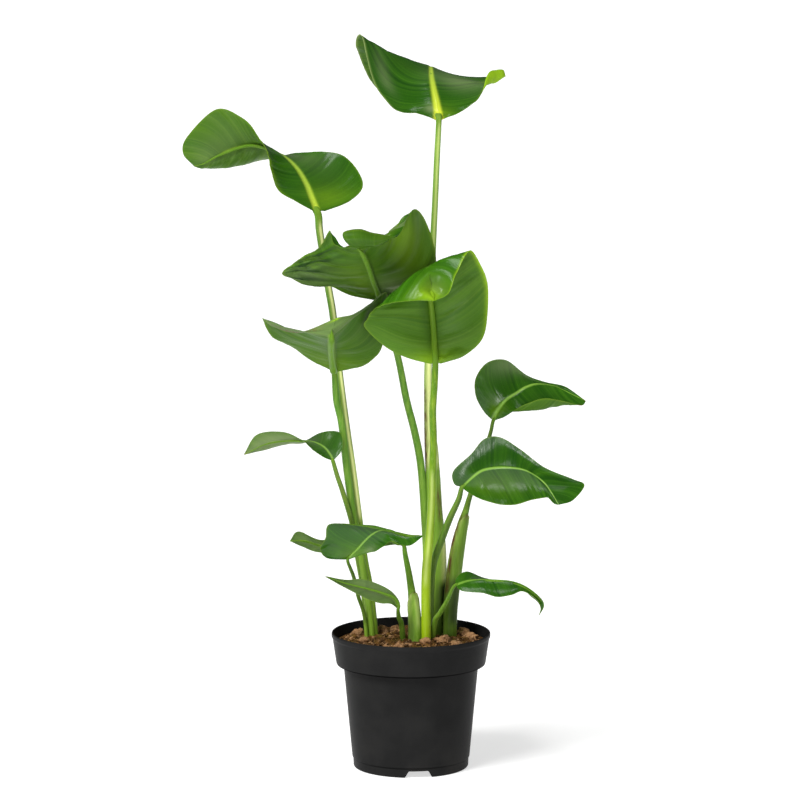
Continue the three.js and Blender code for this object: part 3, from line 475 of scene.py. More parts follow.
def lumpy(points, size, seed, waves=14):
    """Uneven height in space, mostly between -1 and 1: sines that run in seeded directions
    with wavelengths around size, added up and divided by the root of their number."""
    random = np.random.default_rng(seed)
    ways = unit(random.normal(size=(waves, 3))) * random.uniform(0.6, 1.8, (waves, 1))
    turns = 2 * np.pi / size * (points @ ways.T) + random.uniform(0, 2 * np.pi, waves)
    return np.sin(turns).sum(axis=-1) / math.sqrt(waves)


def patches(u, v, places, steep=1):
    """Sum of soft round patches, each exp(-r^2) in the length u and the signed width v, or
    exp(-r^4) where steep is 2."""
    total = np.zeros_like(u + v)
    for at_u, at_v, reach_u, reach_v, strength in places:
        away = ((u - at_u) / reach_u) ** 2 + ((v - at_v) / reach_v) ** 2
        total = total + strength * np.exp(-(away**steep))
    return total


def grid_quads(rows, columns, wrap=False, loop=False):
    """Corner numbers of the quads between rows of points. Each turns from a column to the
    next and then a row up. With wrap the last column joins the first, and with loop the last
    row does."""
    i = np.arange(rows if loop else rows - 1)[:, None]
    j = np.arange(columns if wrap else columns - 1)[None]
    here, above = i * columns, (i + 1) % rows * columns
    after = (j + 1) % columns
    return np.stack([here + j, here + after, above + after, above + j], -1).reshape(-1, 4)


def shell_quads(rows, columns):
    """Quads of a closed thin shell: an upper grid of points, a lower one after it, and the
    strip around their shared outline. The upper face comes first."""
    upper = grid_quads(rows, columns)
    below = rows * columns
    last = (rows - 1) * columns
    rim = np.concatenate([
        np.arange(columns - 1),
        np.arange(rows - 1) * columns + columns - 1,
        last + np.arange(columns - 1, 0, -1),
        np.arange(rows - 1, 0, -1) * columns,
    ])
    after = np.roll(rim, -1)
    strip = np.stack([after, rim, rim + below, after + below], -1)
    return np.vstack([upper, upper[:, ::-1] + below, strip])


def spread(shape, marks, times=1):
    """Marks drawn out over a grid of points, and repeated for each grid that shares them."""
    return {mark: np.tile(np.broadcast_to(values, shape).ravel(), times)
            for mark, values in marks.items()}


def shell(upper, lower, marks):
    """Closed shell between two grids of points: its points, its faces, its marks, which both
    grids share, and how many faces belong to the upper one."""
    rows, columns = upper.shape[:2]
    points = np.concatenate([upper.reshape(-1, 3), lower.reshape(-1, 3)])
    uppers = (rows - 1) * (columns - 1)
    return points, shell_quads(rows, columns), spread((rows, columns), marks, 2), uppers


# ---------- pieces ----------
def joined(parts):
    """Several sets of points and faces as one."""
    starts = np.cumsum([0] + [len(part[0]) for part in parts[:-1]])
    return (np.concatenate([part[0] for part in parts]),
            np.concatenate([part[1] + start for part, start in zip(parts, starts)]))


def joined_marks(parts):
    """The marks of those sets as one."""
    return {mark: np.concatenate([part[2][mark] for part in parts]) for mark in parts[0][2]}


def placed(name, data):
    """New object of the scene."""
    made = bpy.data.objects.new(name, data)
    bpy.context.scene.collection.objects.link(made)
    return made


def piece(name, points, faces, finishes, wears=None, marks=None, weld=False):
    """Mesh object from points in millimetres, with smooth faces. wears numbers each face's
    finish, and marks are values at the points that the finishes read. A weld joins points
    that lie in one place, such as a seam's or a pole's."""
    mesh = bpy.data.meshes.new(name)
    mesh.from_pydata((np.asarray(points) * MM).tolist(), [], np.asarray(faces).tolist())
    for finish in finishes:
        mesh.materials.append(finish)
    if wears is not None:
        mesh.polygons.foreach_set("material_index", np.asarray(wears, np.int32))
    for mark, values in (marks or {}).items():
        layer = mesh.attributes.new(mark, "FLOAT", "POINT")
        layer.data.foreach_set("value", np.ascontiguousarray(values, np.float32))
    if weld:
        work = bmesh.new()
        work.from_mesh(mesh)
        bmesh.ops.remove_doubles(work, verts=work.verts, dist=WELD_REACH)
        work.to_mesh(mesh)
        work.free()
    mesh.shade_smooth()
    mesh.update()
    return placed(name, mesh)


def settle(made, node=None):
    """The piece rides the plant's one body, and may stand for a node, whose imported part it hides.
    """
    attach(made, "root")
    if node:
        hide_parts(node)


# ---------- finishes ----------
def colour(code):
    """Linear colour of a six-digit sRGB code."""
    s = np.array([int(code[k:k + 2], 16) for k in (0, 2, 4)]) / 255
    linear = np.where(s <= 0.04045, s / 12.92, ((s + 0.055) / 1.055) ** 2.4)
    return (*linear.tolist(), 1.0)


class Finish:
    """A Principled finish whose nodes are laid down one call at a time."""

    def __init__(self, name, **settings):
        self.material = bpy.data.materials.new(name)
        self.material.use_nodes = True
        self.tree = self.material.node_tree
        self.shader = self.tree.nodes["Principled BSDF"]
        for socket, value in settings.items():
            self.shader.inputs[socket.replace("_", " ")].default_value = value

    def node(self, kind, inputs, output=0, **settings):
        """One node with its settings. An input that is itself an output gets linked."""
        made = self.tree.nodes.new(kind)
        for name, value in settings.items():
            setattr(made, name, value)
        for socket, value in inputs.items():
            if isinstance(value, bpy.types.NodeSocket):
                self.tree.links.new(value, made.inputs[socket])
            else:
                made.inputs[socket].default_value = value
        return made.outputs[output]

    def wear(self, socket, value):
        """Links what the nodes work out to the shader."""
        self.tree.links.new(value, self.shader.inputs[socket])

    def mark(self, name):
        """A value that is kept at the piece's points."""
        return self.node("ShaderNodeAttribute", {}, "Fac", attribute_name=name)

    def share_of(self, name):
        """A mark, kept between 0 and 1."""
        return self.calc("MULTIPLY", self.mark(name), 1.0, clamp=True)

    def place(self, scale=(1, 1, 1)):
        """The piece's own place in metres, drawn out along the axes."""
        spot = self.node("ShaderNodeTexCoord", {}, "Object")
        return self.node("ShaderNodeMapping", {"Vector": spot, "Scale": scale})

    def calc(self, kind, a, b=0.0, c=0.0, clamp=False):
        """A Math node: one sum of that kind from up to three values."""
        return self.node("ShaderNodeMath", {0: a, 1: b, 2: c}, operation=kind, use_clamp=clamp)

    def grain(self, vector, scale, detail=3.0, rough=0.5):
        """Noise in space, whose scale is about how many grains fit in a metre."""
        return self.node("ShaderNodeTexNoise", {"Vector": vector, "Scale": scale,
                                                "Detail": detail, "Roughness": rough})

    def lines(self, along, scale, detail=2.0):
        """Noise of one value, which draws uneven lines where that value stays the same."""
        return self.node("ShaderNodeTexNoise", {"W": along, "Scale": scale, "Detail": detail},
                         noise_dimensions="1D")

    def span(self, value, low, high, new_low=0.0, new_high=1.0):
        """The value's range from low to high, drawn out to a new one and kept in it."""
        return self.node("ShaderNodeMapRange", {"Value": value, "From Min": low,
                         "From Max": high, "To Min": new_low, "To Max": new_high})

    def mix(self, share, a, b):
        """Colours a and b, by how much of b there is."""
        a, b = (colour(x) if isinstance(x, str) else x for x in (a, b))
        return self.node("ShaderNodeMix", {0: share, 6: a, 7: b}, 2, data_type="RGBA")

    def relief(self, height, distance, strength=1.0, over=None):
        """Bump of that height, on top of an earlier one."""
        inputs = {"Height": height, "Distance": distance, "Strength": strength}
        if over is not None:
            inputs["Normal"] = over
        return self.node("ShaderNodeBump", inputs)


def leaf_finish(name, old, young, lit, rib, vein, bloom, rough, gloss):
    """Skin of a blade. Uneven lines at constant vein value are the side veins, in three
    sizes. A dull bloom, then the marks for pale places, partly bloom and partly painted
    sheen, for painted shade, for painted light, for the margin, the midrib and dried places
    are mixed over them in that order."""
    f = Finish(name, Specular_IOR_Level=gloss)
    veins = f.mark("vein")
    fine = f.lines(veins, 0.9)
    middling = f.lines(veins, 0.28)
    broad = f.lines(veins, 0.07, 1.0)
    cloud = f.grain(f.place(), 16.0, 4.0)
    body = f.mix(f.mark("tone"), old, young)
    body = f.mix(f.span(broad, 0.35, 0.7, 0.0, 0.2), body, lit)
    body = f.mix(f.span(cloud, 0.4, 0.75, 0.0, 0.3), body, old)
    body = f.mix(f.span(middling, 0.55, 0.78, 0.0, vein), body, lit)
    body = f.mix(f.span(fine, 0.56, 0.75, 0.0, vein), body, lit)
    dark = f.calc("MULTIPLY", f.span(middling, 0.28, 0.46, 1.0, 0.0), f.mark("lines"))
    body = f.mix(f.calc("MULTIPLY", dark, 0.7), body, old)
    body = f.mix(f.span(f.grain(f.place(), 900.0, 2.0), 0.45, 0.8, 0.0, bloom), body, "8f9a7c")
    # pale mixes in bloom and a painted sheen, shade is painted shade, sun is painted light
    for mark, tint in (("pale", "87966a"), ("shade", "1d3a0c"), ("sun", "8fb81e")):
        body = f.mix(f.share_of(mark), body, tint)
    body = f.mix(f.calc("MULTIPLY", f.mark("margin"), 0.22), body, "8fae2e")
    body = f.mix(f.mark("midrib"), body, f.mix(f.mark("gold"), rib, "dce436"))
    flecks = f.span(f.grain(f.place(), 420.0, 3.0), 0.35, 0.6)
    body = f.mix(f.calc("MULTIPLY", f.mark("dry"), flecks, clamp=True), body, "6b3a1c")
    f.wear("Base Color", body)
    smear = f.grain(f.place(), 40.0, 3.0)
    f.wear("Roughness", f.span(f.calc("ADD", smear, f.calc("MULTIPLY", fine, 0.4)), 0.4, 1.1,
                               rough - 0.07, rough + 0.12))
    ridges = f.relief(f.calc("ADD", f.calc("MULTIPLY", middling, 1.6), fine), 0.00022, 0.5)
    f.wear("Normal", f.relief(f.grain(f.place(), 1500.0, 2.0), 0.00004, 0.35, ridges))
    return f.material


def stalk_finish(name, low, high, stripe):
    """Skin of a stalk: colour changes from the root up, drawn-out noise gives long fibres,
    the channel down the upper side is paler, and sheath edges dry to a brown line. Under
    the blade the skin is smooth and even."""
    f = Finish(name, Specular_IOR_Level=0.15)
    fibres = f.calc("MULTIPLY", f.grain(f.place((1, 1, 0.01)), 1500.0, 2.0),
                   f.calc("SUBTRACT", 1.0, f.mark("under")))
    bands = f.grain(f.place((1, 1, 0.03)), 260.0, 2.0)
    body = f.mix(f.mark("up"), low, high)
    body = f.mix(f.span(bands, 0.4, 0.7, 0.0, 0.35), body, stripe)
    body = f.mix(f.span(fibres, 0.5, 0.8, 0.0, 0.25), body, "c3d27c")
    body = f.mix(f.mark("channel"), body, stripe)
    body = f.mix(f.calc("MULTIPLY", f.mark("under"), 0.7), body, "5c801c")
    for mark, tint in (("pale", "f2faa6"), ("dark", "24340f")):
        body = f.mix(f.share_of(mark), body, tint)
    ragged = f.span(f.grain(f.place((1, 1, 0.2)), 260.0, 3.0), 0.3, 0.62)
    body = f.mix(f.calc("MULTIPLY", f.mark("dry"), ragged, clamp=True), body, "5d3a28")
    f.wear("Base Color", body)
    f.wear("Roughness", f.span(bands, 0.3, 0.7, 0.36, 0.5))
    f.wear("Normal", f.relief(fibres, 0.0004, 0.35))
    return f.material


# reach at which a painted shadow line is all dark
FULL_SHADE_REACH = 0.0025  # reach at which a crease is all dark


def pot_finish():
    """Black moulded plastic: a fine pebble, faint rings left by the mould, a little grey
    dust that gathers low down, and painted shadow lines, dark and dull, above the foot and
    under the band, each at a height and with a reach in metres."""
    f = Finish("black nursery pot", Specular_IOR_Level=0.25, IOR=1.15)
    spot = f.place()
    height = f.node("ShaderNodeSeparateXYZ", {"Vector": spot}, "Z")
    rings = f.lines(height, 900.0, 2.0)
    pebble = f.grain(spot, 1400.0, 2.0)
    cloud = f.grain(spot, 22.0, 4.0)
    low = f.span(height, 0.0, 0.05, 1.0, 0.0)
    dust = f.calc("MULTIPLY", f.span(cloud, 0.45, 0.8), f.calc("MULTIPLY_ADD", low, 0.35, 0.12))
    body = f.mix(f.span(cloud, 0.35, 0.7), "1d1d1d", "232323")
    body = f.mix(f.span(pebble, 0.5, 0.8, 0.0, 0.25), body, "2a2a29")
    body = f.mix(dust, body, "302e2b")
    rough = f.span(cloud, 0.3, 0.7, 0.38, 0.46)
    # painted shadow lines above the foot and under the band, dull as well as dark
    for shade_line, reach in ((0.0125, 0.0015), (0.1375, 0.0025)):
        away = f.calc("ABSOLUTE", f.calc("SUBTRACT", height, shade_line))
        share = f.span(away, 0.4 * reach, reach, reach / FULL_SHADE_REACH, 0.0)
        body = f.mix(share, body, "020202")
        rough = f.calc("MAXIMUM", rough, share)
    f.wear("Base Color", body)
    f.wear("Roughness", rough)
    f.wear("Normal", f.relief(pebble, 0.00008, 0.5, f.relief(rings, 0.0001, 0.12)))
    return f.material


def soil_finish():
    """Loose peat: brown crumbs with olive patches, pale fibres and dark pits."""
    f = Finish("peat", Specular_IOR_Level=0.1)
    spot = f.place()
    coarse = f.grain(spot, 150.0, 5.0, 0.7)
    fleck = f.grain(spot, 480.0, 3.0, 0.65)
    fibre = f.grain(f.place((0.35, 1.0, 1.0)), 620.0, 3.0, 0.6)
    body = f.mix(f.span(coarse, 0.36, 0.64), "26160a", "8a6234")
    body = f.mix(f.span(f.grain(spot, 60.0, 3.0), 0.5, 0.7, 0.0, 0.6), body, "5a5520")
    body = f.mix(f.span(fibre, 0.58, 0.7, 0.0, 0.75), body, "c79c62")
    f.wear("Base Color", f.mix(f.span(fleck, 0.32, 0.46, 0.85, 0.0), body, "0d0804"))
    f.wear("Roughness", f.span(fleck, 0.3, 0.7, 0.82, 0.98))
    crumbs = f.relief(coarse, 0.005, 0.8)
    f.wear("Normal", f.relief(fleck, 0.0016, 0.9, crumbs))
    return f.material


def bark_finish():
    """Lumps of bark and fired clay: each lump has its own tone, with a grainy, pitted skin
    that is darker in its hollows."""
    f = Finish("bark and clay lumps", Specular_IOR_Level=0.12)
    spot = f.place()
    grit = f.grain(spot, 420.0, 4.0, 0.65)
    pits = f.grain(spot, 1100.0, 2.0)
    body = f.mix(f.mark("tone"), "33200f", "b98c62")
    body = f.mix(f.span(grit, 0.52, 0.74, 0.0, 0.6), body, "d8b488")
    body = f.mix(f.span(grit, 0.32, 0.47, 0.85, 0.0), body, "2c190c")
    f.wear("Base Color", body)
    f.wear("Roughness", f.span(pits, 0.3, 0.7, 0.75, 0.95))
    f.wear("Normal", f.relief(pits, 0.0006, 0.6, f.relief(grit, 0.002, 0.7)))
    return f.material


def floor_finish():
    """Plain white studio floor, which glows a little so that it stays white far away."""
    f = Finish("white floor", Roughness=0.9, Specular_IOR_Level=0.0, Emission_Strength=0.62)
    f.shader.inputs["Emission Color"].default_value = colour("ffffff")
    f.wear("Base Color", f.mix(f.grain(f.place(), 1.5, 2.0), "d9d9d8", "dddddd"))
    return f.material


UPPER_FACE = leaf_finish("glossy upper leaf face", old="123f04", young="3f7d0c", lit="5d9a1e",
                         rib="93c24c", vein=0.12, bloom=0.02, rough=0.18, gloss=0.35)
UNDERSIDE = leaf_finish("leaf underside", old="315a0c", young="56851a", lit="7a9c32",
                        rib="7fa62a", vein=0.15, bloom=0.02, rough=0.36, gloss=0.14)
STALK_SKIN = stalk_finish("green stalk skin", low="7da52e", high="4f8424", stripe="9cbc48")
YOUNG_SKIN = stalk_finish("young bright stalk skin", low="94b408", high="548014",
                          stripe="acc434")
POT_PLASTIC = pot_finish()
PEAT = soil_finish()
BARK = bark_finish()


# ---------- leaf blades ----------
# Shares of the half width at which a blade has points: close over the midrib and the margin.
ACROSS = np.concatenate([
    [0.0, 0.012, 0.026, 0.042, 0.06, 0.085],
    np.linspace(0.12, 0.955, 20),
    [0.975, 0.99, 1.0],
])
# A side vein climbs by this much of its distance from the midrib, and of its square.
VEIN_CLIMB, VEIN_CURL = 0.28, 0.002
# The two sizes of fold between the veins: width, how much they wander and over what length,
# the seed and the number of waves in that.
BROAD_FOLDS, FINE_FOLDS = (26, 1.6, 30, 6, 3), (8, 1.2, 14, 5, 3)
# Rows and columns of points on a rolled strip.
STRIP_ROWS, STRIP_COLUMNS = 64, 16
# Half thickness of a blade, what the margin is short of it, and that of a rolled strip.
HALF_THICK, THIN_MARGIN, STRIP_HALF_THICK = 0.42, 0.2, 0.25
# The midrib's channel and ridge: share of its half width, and no more than this.
CHANNEL, RIDGE = (0.5, 1.3), (0.7, 1.9)
# Past the tip, for a blade that doesn't turn over or whose midrib doesn't stop.
NOT_TURNED, NO_STOP = (2, 3), 1.2


def blade_surface(leaf):
    """Middle surface of a blade, in rows from its base to its tip.

    At the share u of the length, each half of the row is the arc
    (1-v)^2 m + 2v(1-v) c + v^2 e from the midrib m(u) to the edge e(u). c lies over the
    middle of that line, twice the bow off the blade, or on the roll curve where the leaf
    rolls up. The edge is lifted off the blade by height * sin(pi u) times the sum of
    sin(2 pi count u + s), with s -1 on the left and 1 on the right, and a quarter of an
    uneven wave.
    """
    u = np.linspace(BLADE_FROM, BLADE_TO, leaf["rows"])
    middle = curve(leaf["rib"], u)
    along = unit(np.gradient(middle, axis=0))
    base, tip = leaf["rib"][0], leaf["rib"][-1]
    swell = np.sin(np.pi * u)[:, None]
    height, count = leaf["wave"]
    halves = []
    for sign, side, bow in ((-1, "left", leaf["bow"][0]), (1, "right", leaf["bow"][1])):
        edge = curve([base, *leaf[side], tip], u)
        up = unit(np.cross(sign * (edge - middle), along))
        pull = (middle + edge) / 2 + up * 2 * bow * swell
        if "roll_" + side in leaf:
            pull = curve([base, *leaf["roll_" + side], tip], u)
        ripples = np.sin(2 * np.pi * count * u + sign) + 0.25 * wander(70 * u, len(leaf["name"]))
        edge = edge + up * height * swell * ripples[:, None]
        halves.append(arc(middle[:, None], pull[:, None], edge[:, None], ACROSS[None, :, None]))
    return u, np.concatenate([halves[0][:, :0:-1], halves[1]], axis=1)


def blade_sheet(leaf):
    """The middle surface with its normals, and what else its finish needs: the distance
    from the midrib, and the vein value, which is the length along the midrib less what a
    side vein climbs on its way out: a share of the distance, and a little of its square."""
    u, points = blade_surface(leaf)
    half = len(ACROSS) - 1
    out = np.concatenate([
        travelled(points[:, half::-1], axis=1)[:, :0:-1],
        travelled(points[:, half:], axis=1),
    ], axis=1)
    v = np.concatenate([-ACROSS[:0:-1], ACROSS])[None]
    length = travelled(points[:, half])[:, None]
    vein = length - VEIN_CLIMB * out - VEIN_CURL * out**2
    return dict(u=u[:, None], v=v, points=points, normal=facing(points), out=out, vein=vein,
                rib_width=rib_width(leaf["name"], u)[:, None], half=half)


def rib_width(name, u):
    """Half width of the midrib at shares u of the blade: it narrows from base to tip as a
    power of the share that is left."""
    wide, narrow, fall = GROWTH[name]["rib"]
    return narrow + (wide - narrow) * (1 - u) ** fall


def rib_fade(name, u):
    """1 where the midrib shows, easing to 0 past the share where it stops."""
    stop = GROWTH[name].get("rib_stop", NO_STOP)
    return 1 - ease(u, stop - 0.08, stop + 0.02)


def rolled_strip(leaf, u, edge_points, strip):
    """Closed shell of a strip rolled over beyond an edge. Across it is the arc
    (1-v)^2 e + 2v(1-v) c + v^2 f from the blade's edge e, drawn towards the pull c, to its
    own edge f. The curves of c and f begin and end on the blade's edge."""
    t = np.linspace(0, 1, STRIP_ROWS)
    first, last = strip["span"]
    start = stepped(first + (last - first) * t, u, edge_points)
    ends = start[:1].tolist(), start[-1:].tolist()
    pull = curve(ends[0] + strip["pull"] + ends[1], t)
    edge = curve(ends[0] + strip["edge"] + ends[1], t)
    v = np.linspace(0, 1, STRIP_COLUMNS)[None]
    points = arc(start[:, None], pull[:, None], edge[:, None], v[..., None])
    if strip["side"] == "left":
        points, v = points[:, ::-1], v[:, ::-1]
    lift = STRIP_HALF_THICK * facing(points)
    marks = dict.fromkeys(("midrib", "gold", "dry"), 0.0)
    # the strip's pale mark, painted light and painted shade
    marks.update({mark: strip.get(mark, 0.0) for mark in ("pale", "sun", "shade")})
    marks.update(vein=60 * t[:, None], lines=0.2, margin=ease(v, 0.86, 0.97),
                 tone=GROWTH[leaf["name"]]["tone"])
    return shell(points + lift, points - lift, marks)


def folds_between_veins(vein, height, folds):
    """Wave of the vein value whose crests wander."""
    width, drift, length, seed, waves = folds
    return height * np.sin(2 * np.pi * vein / width + drift * wander(vein / length, seed, waves))


def gathered(s, gather):
    """Folds that run to a corner of the blade: sines of the angle around it, which fade with
    the distance, beside the midrib and right at the corner. Also how much painted shade
    darkens their hollows."""
    at_u, at_v, count, high, reach = gather
    du, dv = 2.4 * (s["u"] - at_u), s["v"] - at_v
    rays = np.sin(count * np.arctan2(du, -dv) + wander(3 * s["v"], 8, 2))
    far = np.hypot(du, dv)
    near = bell(far, reach) * ease(far, 0.1, 0.4) * ease(s["v"], 0.05, 0.4)
    return high * rays * near, 1.5 * np.maximum(0, -rays) * near


def blade_piece(leaf):
    """Thin closed blade. Between the veins the sheet is folded by sines of the vein value,
    and where it gathers by sines of the angle around a corner. The midrib is a channel above
    and a ridge below, each a bell exp(-(x / width)^2), and the margin is thinner."""
    growth = GROWTH[leaf["name"]]
    s = blade_sheet(leaf)
    size = abs(s["v"])
    broad, fine = growth["pleat"]
    folds = folds_between_veins(s["vein"], broad, BROAD_FOLDS)
    # painted shade in the hollows of the broad folds
    fold_shade = growth.get("fold_shade", 0.1) * np.maximum(0, -folds / broad)
    folds = folds + folds_between_veins(s["vein"], fine, FINE_FOLDS)
    if "gather" in growth:
        rays, hollows = gathered(s, growth["gather"])
        folds, fold_shade = folds + rays, fold_shade + hollows
    slack = ease(size, 0.05, 0.35) * (1 - 0.5 * ease(size, 0.8, 1.0))
    slack = slack * np.sin(np.pi * s["u"]) ** 0.5
    patch = {kind: patches(s["u"], s["v"], growth.get(kind, []), steep=2 if kind == "dent" else 1)
             for kind in ("dent", "sun", "shade", "pale", "dry")}
    sheet = s["points"] + s["normal"] * (folds * slack - patch.pop("dent"))[..., None]
    fade = rib_fade(leaf["name"], s["u"])
    near = bell(s["out"], 0.9 * s["rib_width"]) * fade
    thick = HALF_THICK - THIN_MARGIN * ease(size, 0.9, 1.0)
    channel, ridge = (np.minimum(share * s["rib_width"], most) * near
                      for share, most in (CHANNEL, RIDGE))
    upper = sheet + s["normal"] * (thick - channel)[..., None]
    lower = sheet - s["normal"] * (thick + ridge)[..., None]
    base_glow, glow = growth.get("rib_glow", (0.95, 0.7))
    glow = glow + (base_glow - glow) * np.exp(-4 * s["u"])
    turn_from, turn_to = growth.get("turned", NOT_TURNED)
    # past where the blade turns over it is painted paler, as if lit, and a painted highlight runs
    # along the fold
    turn = 0.35 * ease(s["u"], turn_from, turn_to) + 0.6 * bell(s["u"] - turn_from, 0.006)
    marks = dict(
        patch,
        vein=s["vein"],
        midrib=np.exp(-((s["out"] / (0.95 * s["rib_width"])) ** 4)) * glow * fade,
        lines=growth.get("lines", 0.3),
        gold=growth.get("gold", 0.0) * np.exp(-2 * s["u"]),
        margin=ease(size, 0.965, 0.99),
        # painted shade: the shade patches, and the hollows of the folds
        shade=patch["shade"] + fold_shade * slack,
        pale=patch["pale"] + turn,
        tone=growth["tone"],
    )
    parts = [shell(upper, lower, marks)]
    for strip in ROLLED.get(leaf["name"], []):
        edge = sheet[:, 0 if strip["side"] == "left" else -1]
        parts.append(rolled_strip(leaf, s["u"][:, 0], edge, strip))
    wears = np.concatenate([np.arange(len(faces)) >= uppers for _, faces, _, uppers in parts])
    made = piece("leaf_" + leaf["name"], *joined(parts), [UPPER_FACE, UNDERSIDE], wears,
                 joined_marks(parts), weld=True)
    settle(made, "blade_" + leaf["name"])
    return s


# ---------- leaf stalks ----------
STALK_SIDES = 32
STALK_ROWS = 190  # rings along a stalk
# Shares of the blade at which the stalk's path follows the midrib, how far below it, the
# radius at its thin end, and the row of the blade that the stalk below it faces along.
RIB_SHARES = np.array([0.06, 0.13, 0.22, 0.33, 0.46, 0.6, 0.75, 0.88, 0.96])
RIB_DROP, THIN_END, FACED_ROW = 1.3, 0.15, 6
# The channel: depth, lips beside it, as shares of the radius, and the heights above the
# root between which it opens.
CHANNEL_DEPTH, CHANNEL_LIPS, CHANNEL_OPENS = 0.22, 0.05, (60, 170)
STREAK_END = 8  # a streak fades over twice this length
# Rows and columns of points on a sheath, and its thickness.
SHEATH_ROWS, SHEATH_COLUMNS, SHEATH_THICK = 48, 31, 0.6


def add_streaks(name, marks, height, across, nearness):
    """The streaks of this stalk on its marks: a bell across its front, with soft ends."""
    for mark, low, high, place, width, strength in STREAKS.get(name, []):
        starts = ease(height, low - STREAK_END, low + STREAK_END)
        stops = ease(height, high - STREAK_END, high + STREAK_END)
        streak = strength * starts * (1 - stops) * bell(across - place, width)
        marks[mark] = marks[mark] + streak * ease(nearness, -0.1, 0.3)


def sheath_shell(name, centre, radius):
    """Closed shell of an old leaf base around a stalk. At the share t of its height it
    spreads sqrt(1 - t^4) of its half spread to each side of its middle line, which comes to
    a point at the top. It lies 0.7 mm and a tenth of the radius off the stalk, with an
    uneven wave, and at the share a of its spread it lifts by another 0.9 a^6 t."""
    low, high, turn, half_spread, pale, dry = SHEATHS[name]
    t = np.linspace(0, 1, SHEATH_ROWS)[:, None]
    z = low + (high - low) * t[:, 0]
    order = np.argsort(centre[:, 2])
    heights = centre[order, 2]
    middle = stepped(z, heights, centre[order])
    r = np.interp(z, heights, radius[order])[:, None]
    a = np.linspace(-1, 1, SHEATH_COLUMNS)[None]
    angle = np.radians(turn + half_spread * np.sqrt(np.maximum(1 - t**4, 0)) * a)
    way = unit(np.gradient(middle, axis=0))
    out = around(angle, way, squared(np.array([0.0, -1.0, 0.0]), way))
    lift = 0.7 + 0.1 * r + 0.9 * a**6 * t + 0.25 * wander(9 * angle, 0)
    outer = middle[:, None] + (r + lift)[..., None] * out
    inner = middle[:, None] + (r + lift - SHEATH_THICK)[..., None] * out
    marks = dict(
        up=0.35,
        channel=0.0,
        under=0.0,
        pale=pale * (0.3 + 0.7 * ease(t, 0.5, 1.0)) * ease(abs(a), 0.2, 0.9),
        dry=dry * np.maximum(ease(abs(a), 0.92, 0.99), ease(t, 0.94, 0.99)),
        dark=0.15 * (1 - t),
    )
    add_streaks(name, marks, z[:, None], out[..., 0], -out[..., 1])
    return shell(outer, inner, marks)


def stalk_path(leaf, sheet):
    """Points and radii from below the mix up the stalk, then along the underside of the
    midrib, with the directions that the channel turns to."""
    stalk = np.array(leaf["stalk"][::-1], float)
    stalk[0, 2] -= SOIL["depth"]
    rib_normal = sheet["normal"][:, sheet["half"]]
    up = unit(stepped(RIB_SHARES, sheet["u"][:, 0], rib_normal))
    taper = np.minimum(rib_width(leaf["name"], RIB_SHARES), 1.25 * leaf["stalk"][0][3])
    taper = taper * rib_fade(leaf["name"], RIB_SHARES) * np.sqrt(1 - RIB_SHARES**6) + THIN_END
    rib = curve(leaf["rib"], RIB_SHARES) - up * (taper + RIB_DROP)[:, None]
    path = np.vstack([stalk[:, :3], rib])
    radius = np.concatenate([stalk[:, 3], taper])[:, None]
    fronts = np.vstack([np.tile(rib_normal[FACED_ROW], (len(stalk), 1)), up])
    return path, radius, fronts


def stalk_piece(leaf, sheet):
    """Stalk from below the mix to the blade, which runs on under the blade as the midrib.

    Each ring stands square to the path, and its radius shrinks along the rib. At the angle a
    from the side that the blade's upper face turns to, with n = cos^2(a / 2), the radius is
    cut by CHANNEL_DEPTH * n^10 of itself, and raised by CHANNEL_LIPS of itself times a bell
    around n = 0.8. Both ease to nothing towards the root.
    """
    name, knots = leaf["name"], len(leaf["stalk"])
    path, radius, fronts = stalk_path(leaf, sheet)
    fine = np.linspace(0, 1, 900)
    walked = travelled(curve(path, fine))
    t = np.interp(np.linspace(0, walked[-1], STALK_ROWS), walked, fine)
    t = np.concatenate([t[:1], t, t[-1:]])  # the first and last ring close the ends
    centre, r = curve(path, t), curve(radius, t)
    way = unit(curve(path, t + 1e-4) - curve(path, t - 1e-4))
    turn = np.linspace(0, 2 * np.pi, STALK_SIDES, endpoint=False)[None]
    ring = around(turn, way, squared(curve(fronts, t), way))
    share = (np.interp(t, fine, walked) / walked[-1])[:, None]
    above_root = walked[-1] * share - np.linalg.norm(path[1] - path[0])
    opened = ease(above_root, *CHANNEL_OPENS)
    nearness = np.cos(turn / 2) ** 2
    groove = nearness**10 * opened
    lips = CHANNEL_LIPS * opened * bell(nearness - 0.8, 0.08)
    size = r * (1 - CHANNEL_DEPTH * groove + lips)
    size[[0, -1]] = 0.0
    points = centre[:, None] + size[..., None] * ring
    under = ease(t * (len(path) - 1), knots - 1.6, knots - 1)[:, None]
    marks = dict(up=ease(share, 0.05, 0.6), channel=0.6 * groove, pale=0.0, dry=0.0, dark=0.0,
                 under=under)
    add_streaks(name, marks, centre[:, 2:], ring[..., 0], -ring[..., 1])
    parts = [(points.reshape(-1, 3), grid_quads(*size.shape, wrap=True), spread(size.shape, marks))]
    if name in SHEATHS:
        lower = slice(1, STALK_ROWS // 2)
        parts.append(sheath_shell(name, centre[lower], r[lower, 0]))
    young = leaf.get("young")
    made = piece("stalk_skin_" + name, *joined(parts), [YOUNG_SKIN if young else STALK_SKIN],
                 marks=joined_marks(parts), weld=True)
    settle(made, "stalk_" + name)


for leaf in LEAVES:
    stalk_piece(leaf, blade_piece(leaf))


# ---------- pot ----------
POT_SIDES, DISC_SIDES = 360, 96
FLOOR_RAYS, FLOOR_RINGS = 96, 7
# How far the corners of the wall's and of the disc's outline are eased, and the wall's
# longest side after that.
WALL_EASE, DISC_EASE, WALL_STEP = 1.1, 0.8, 6.0


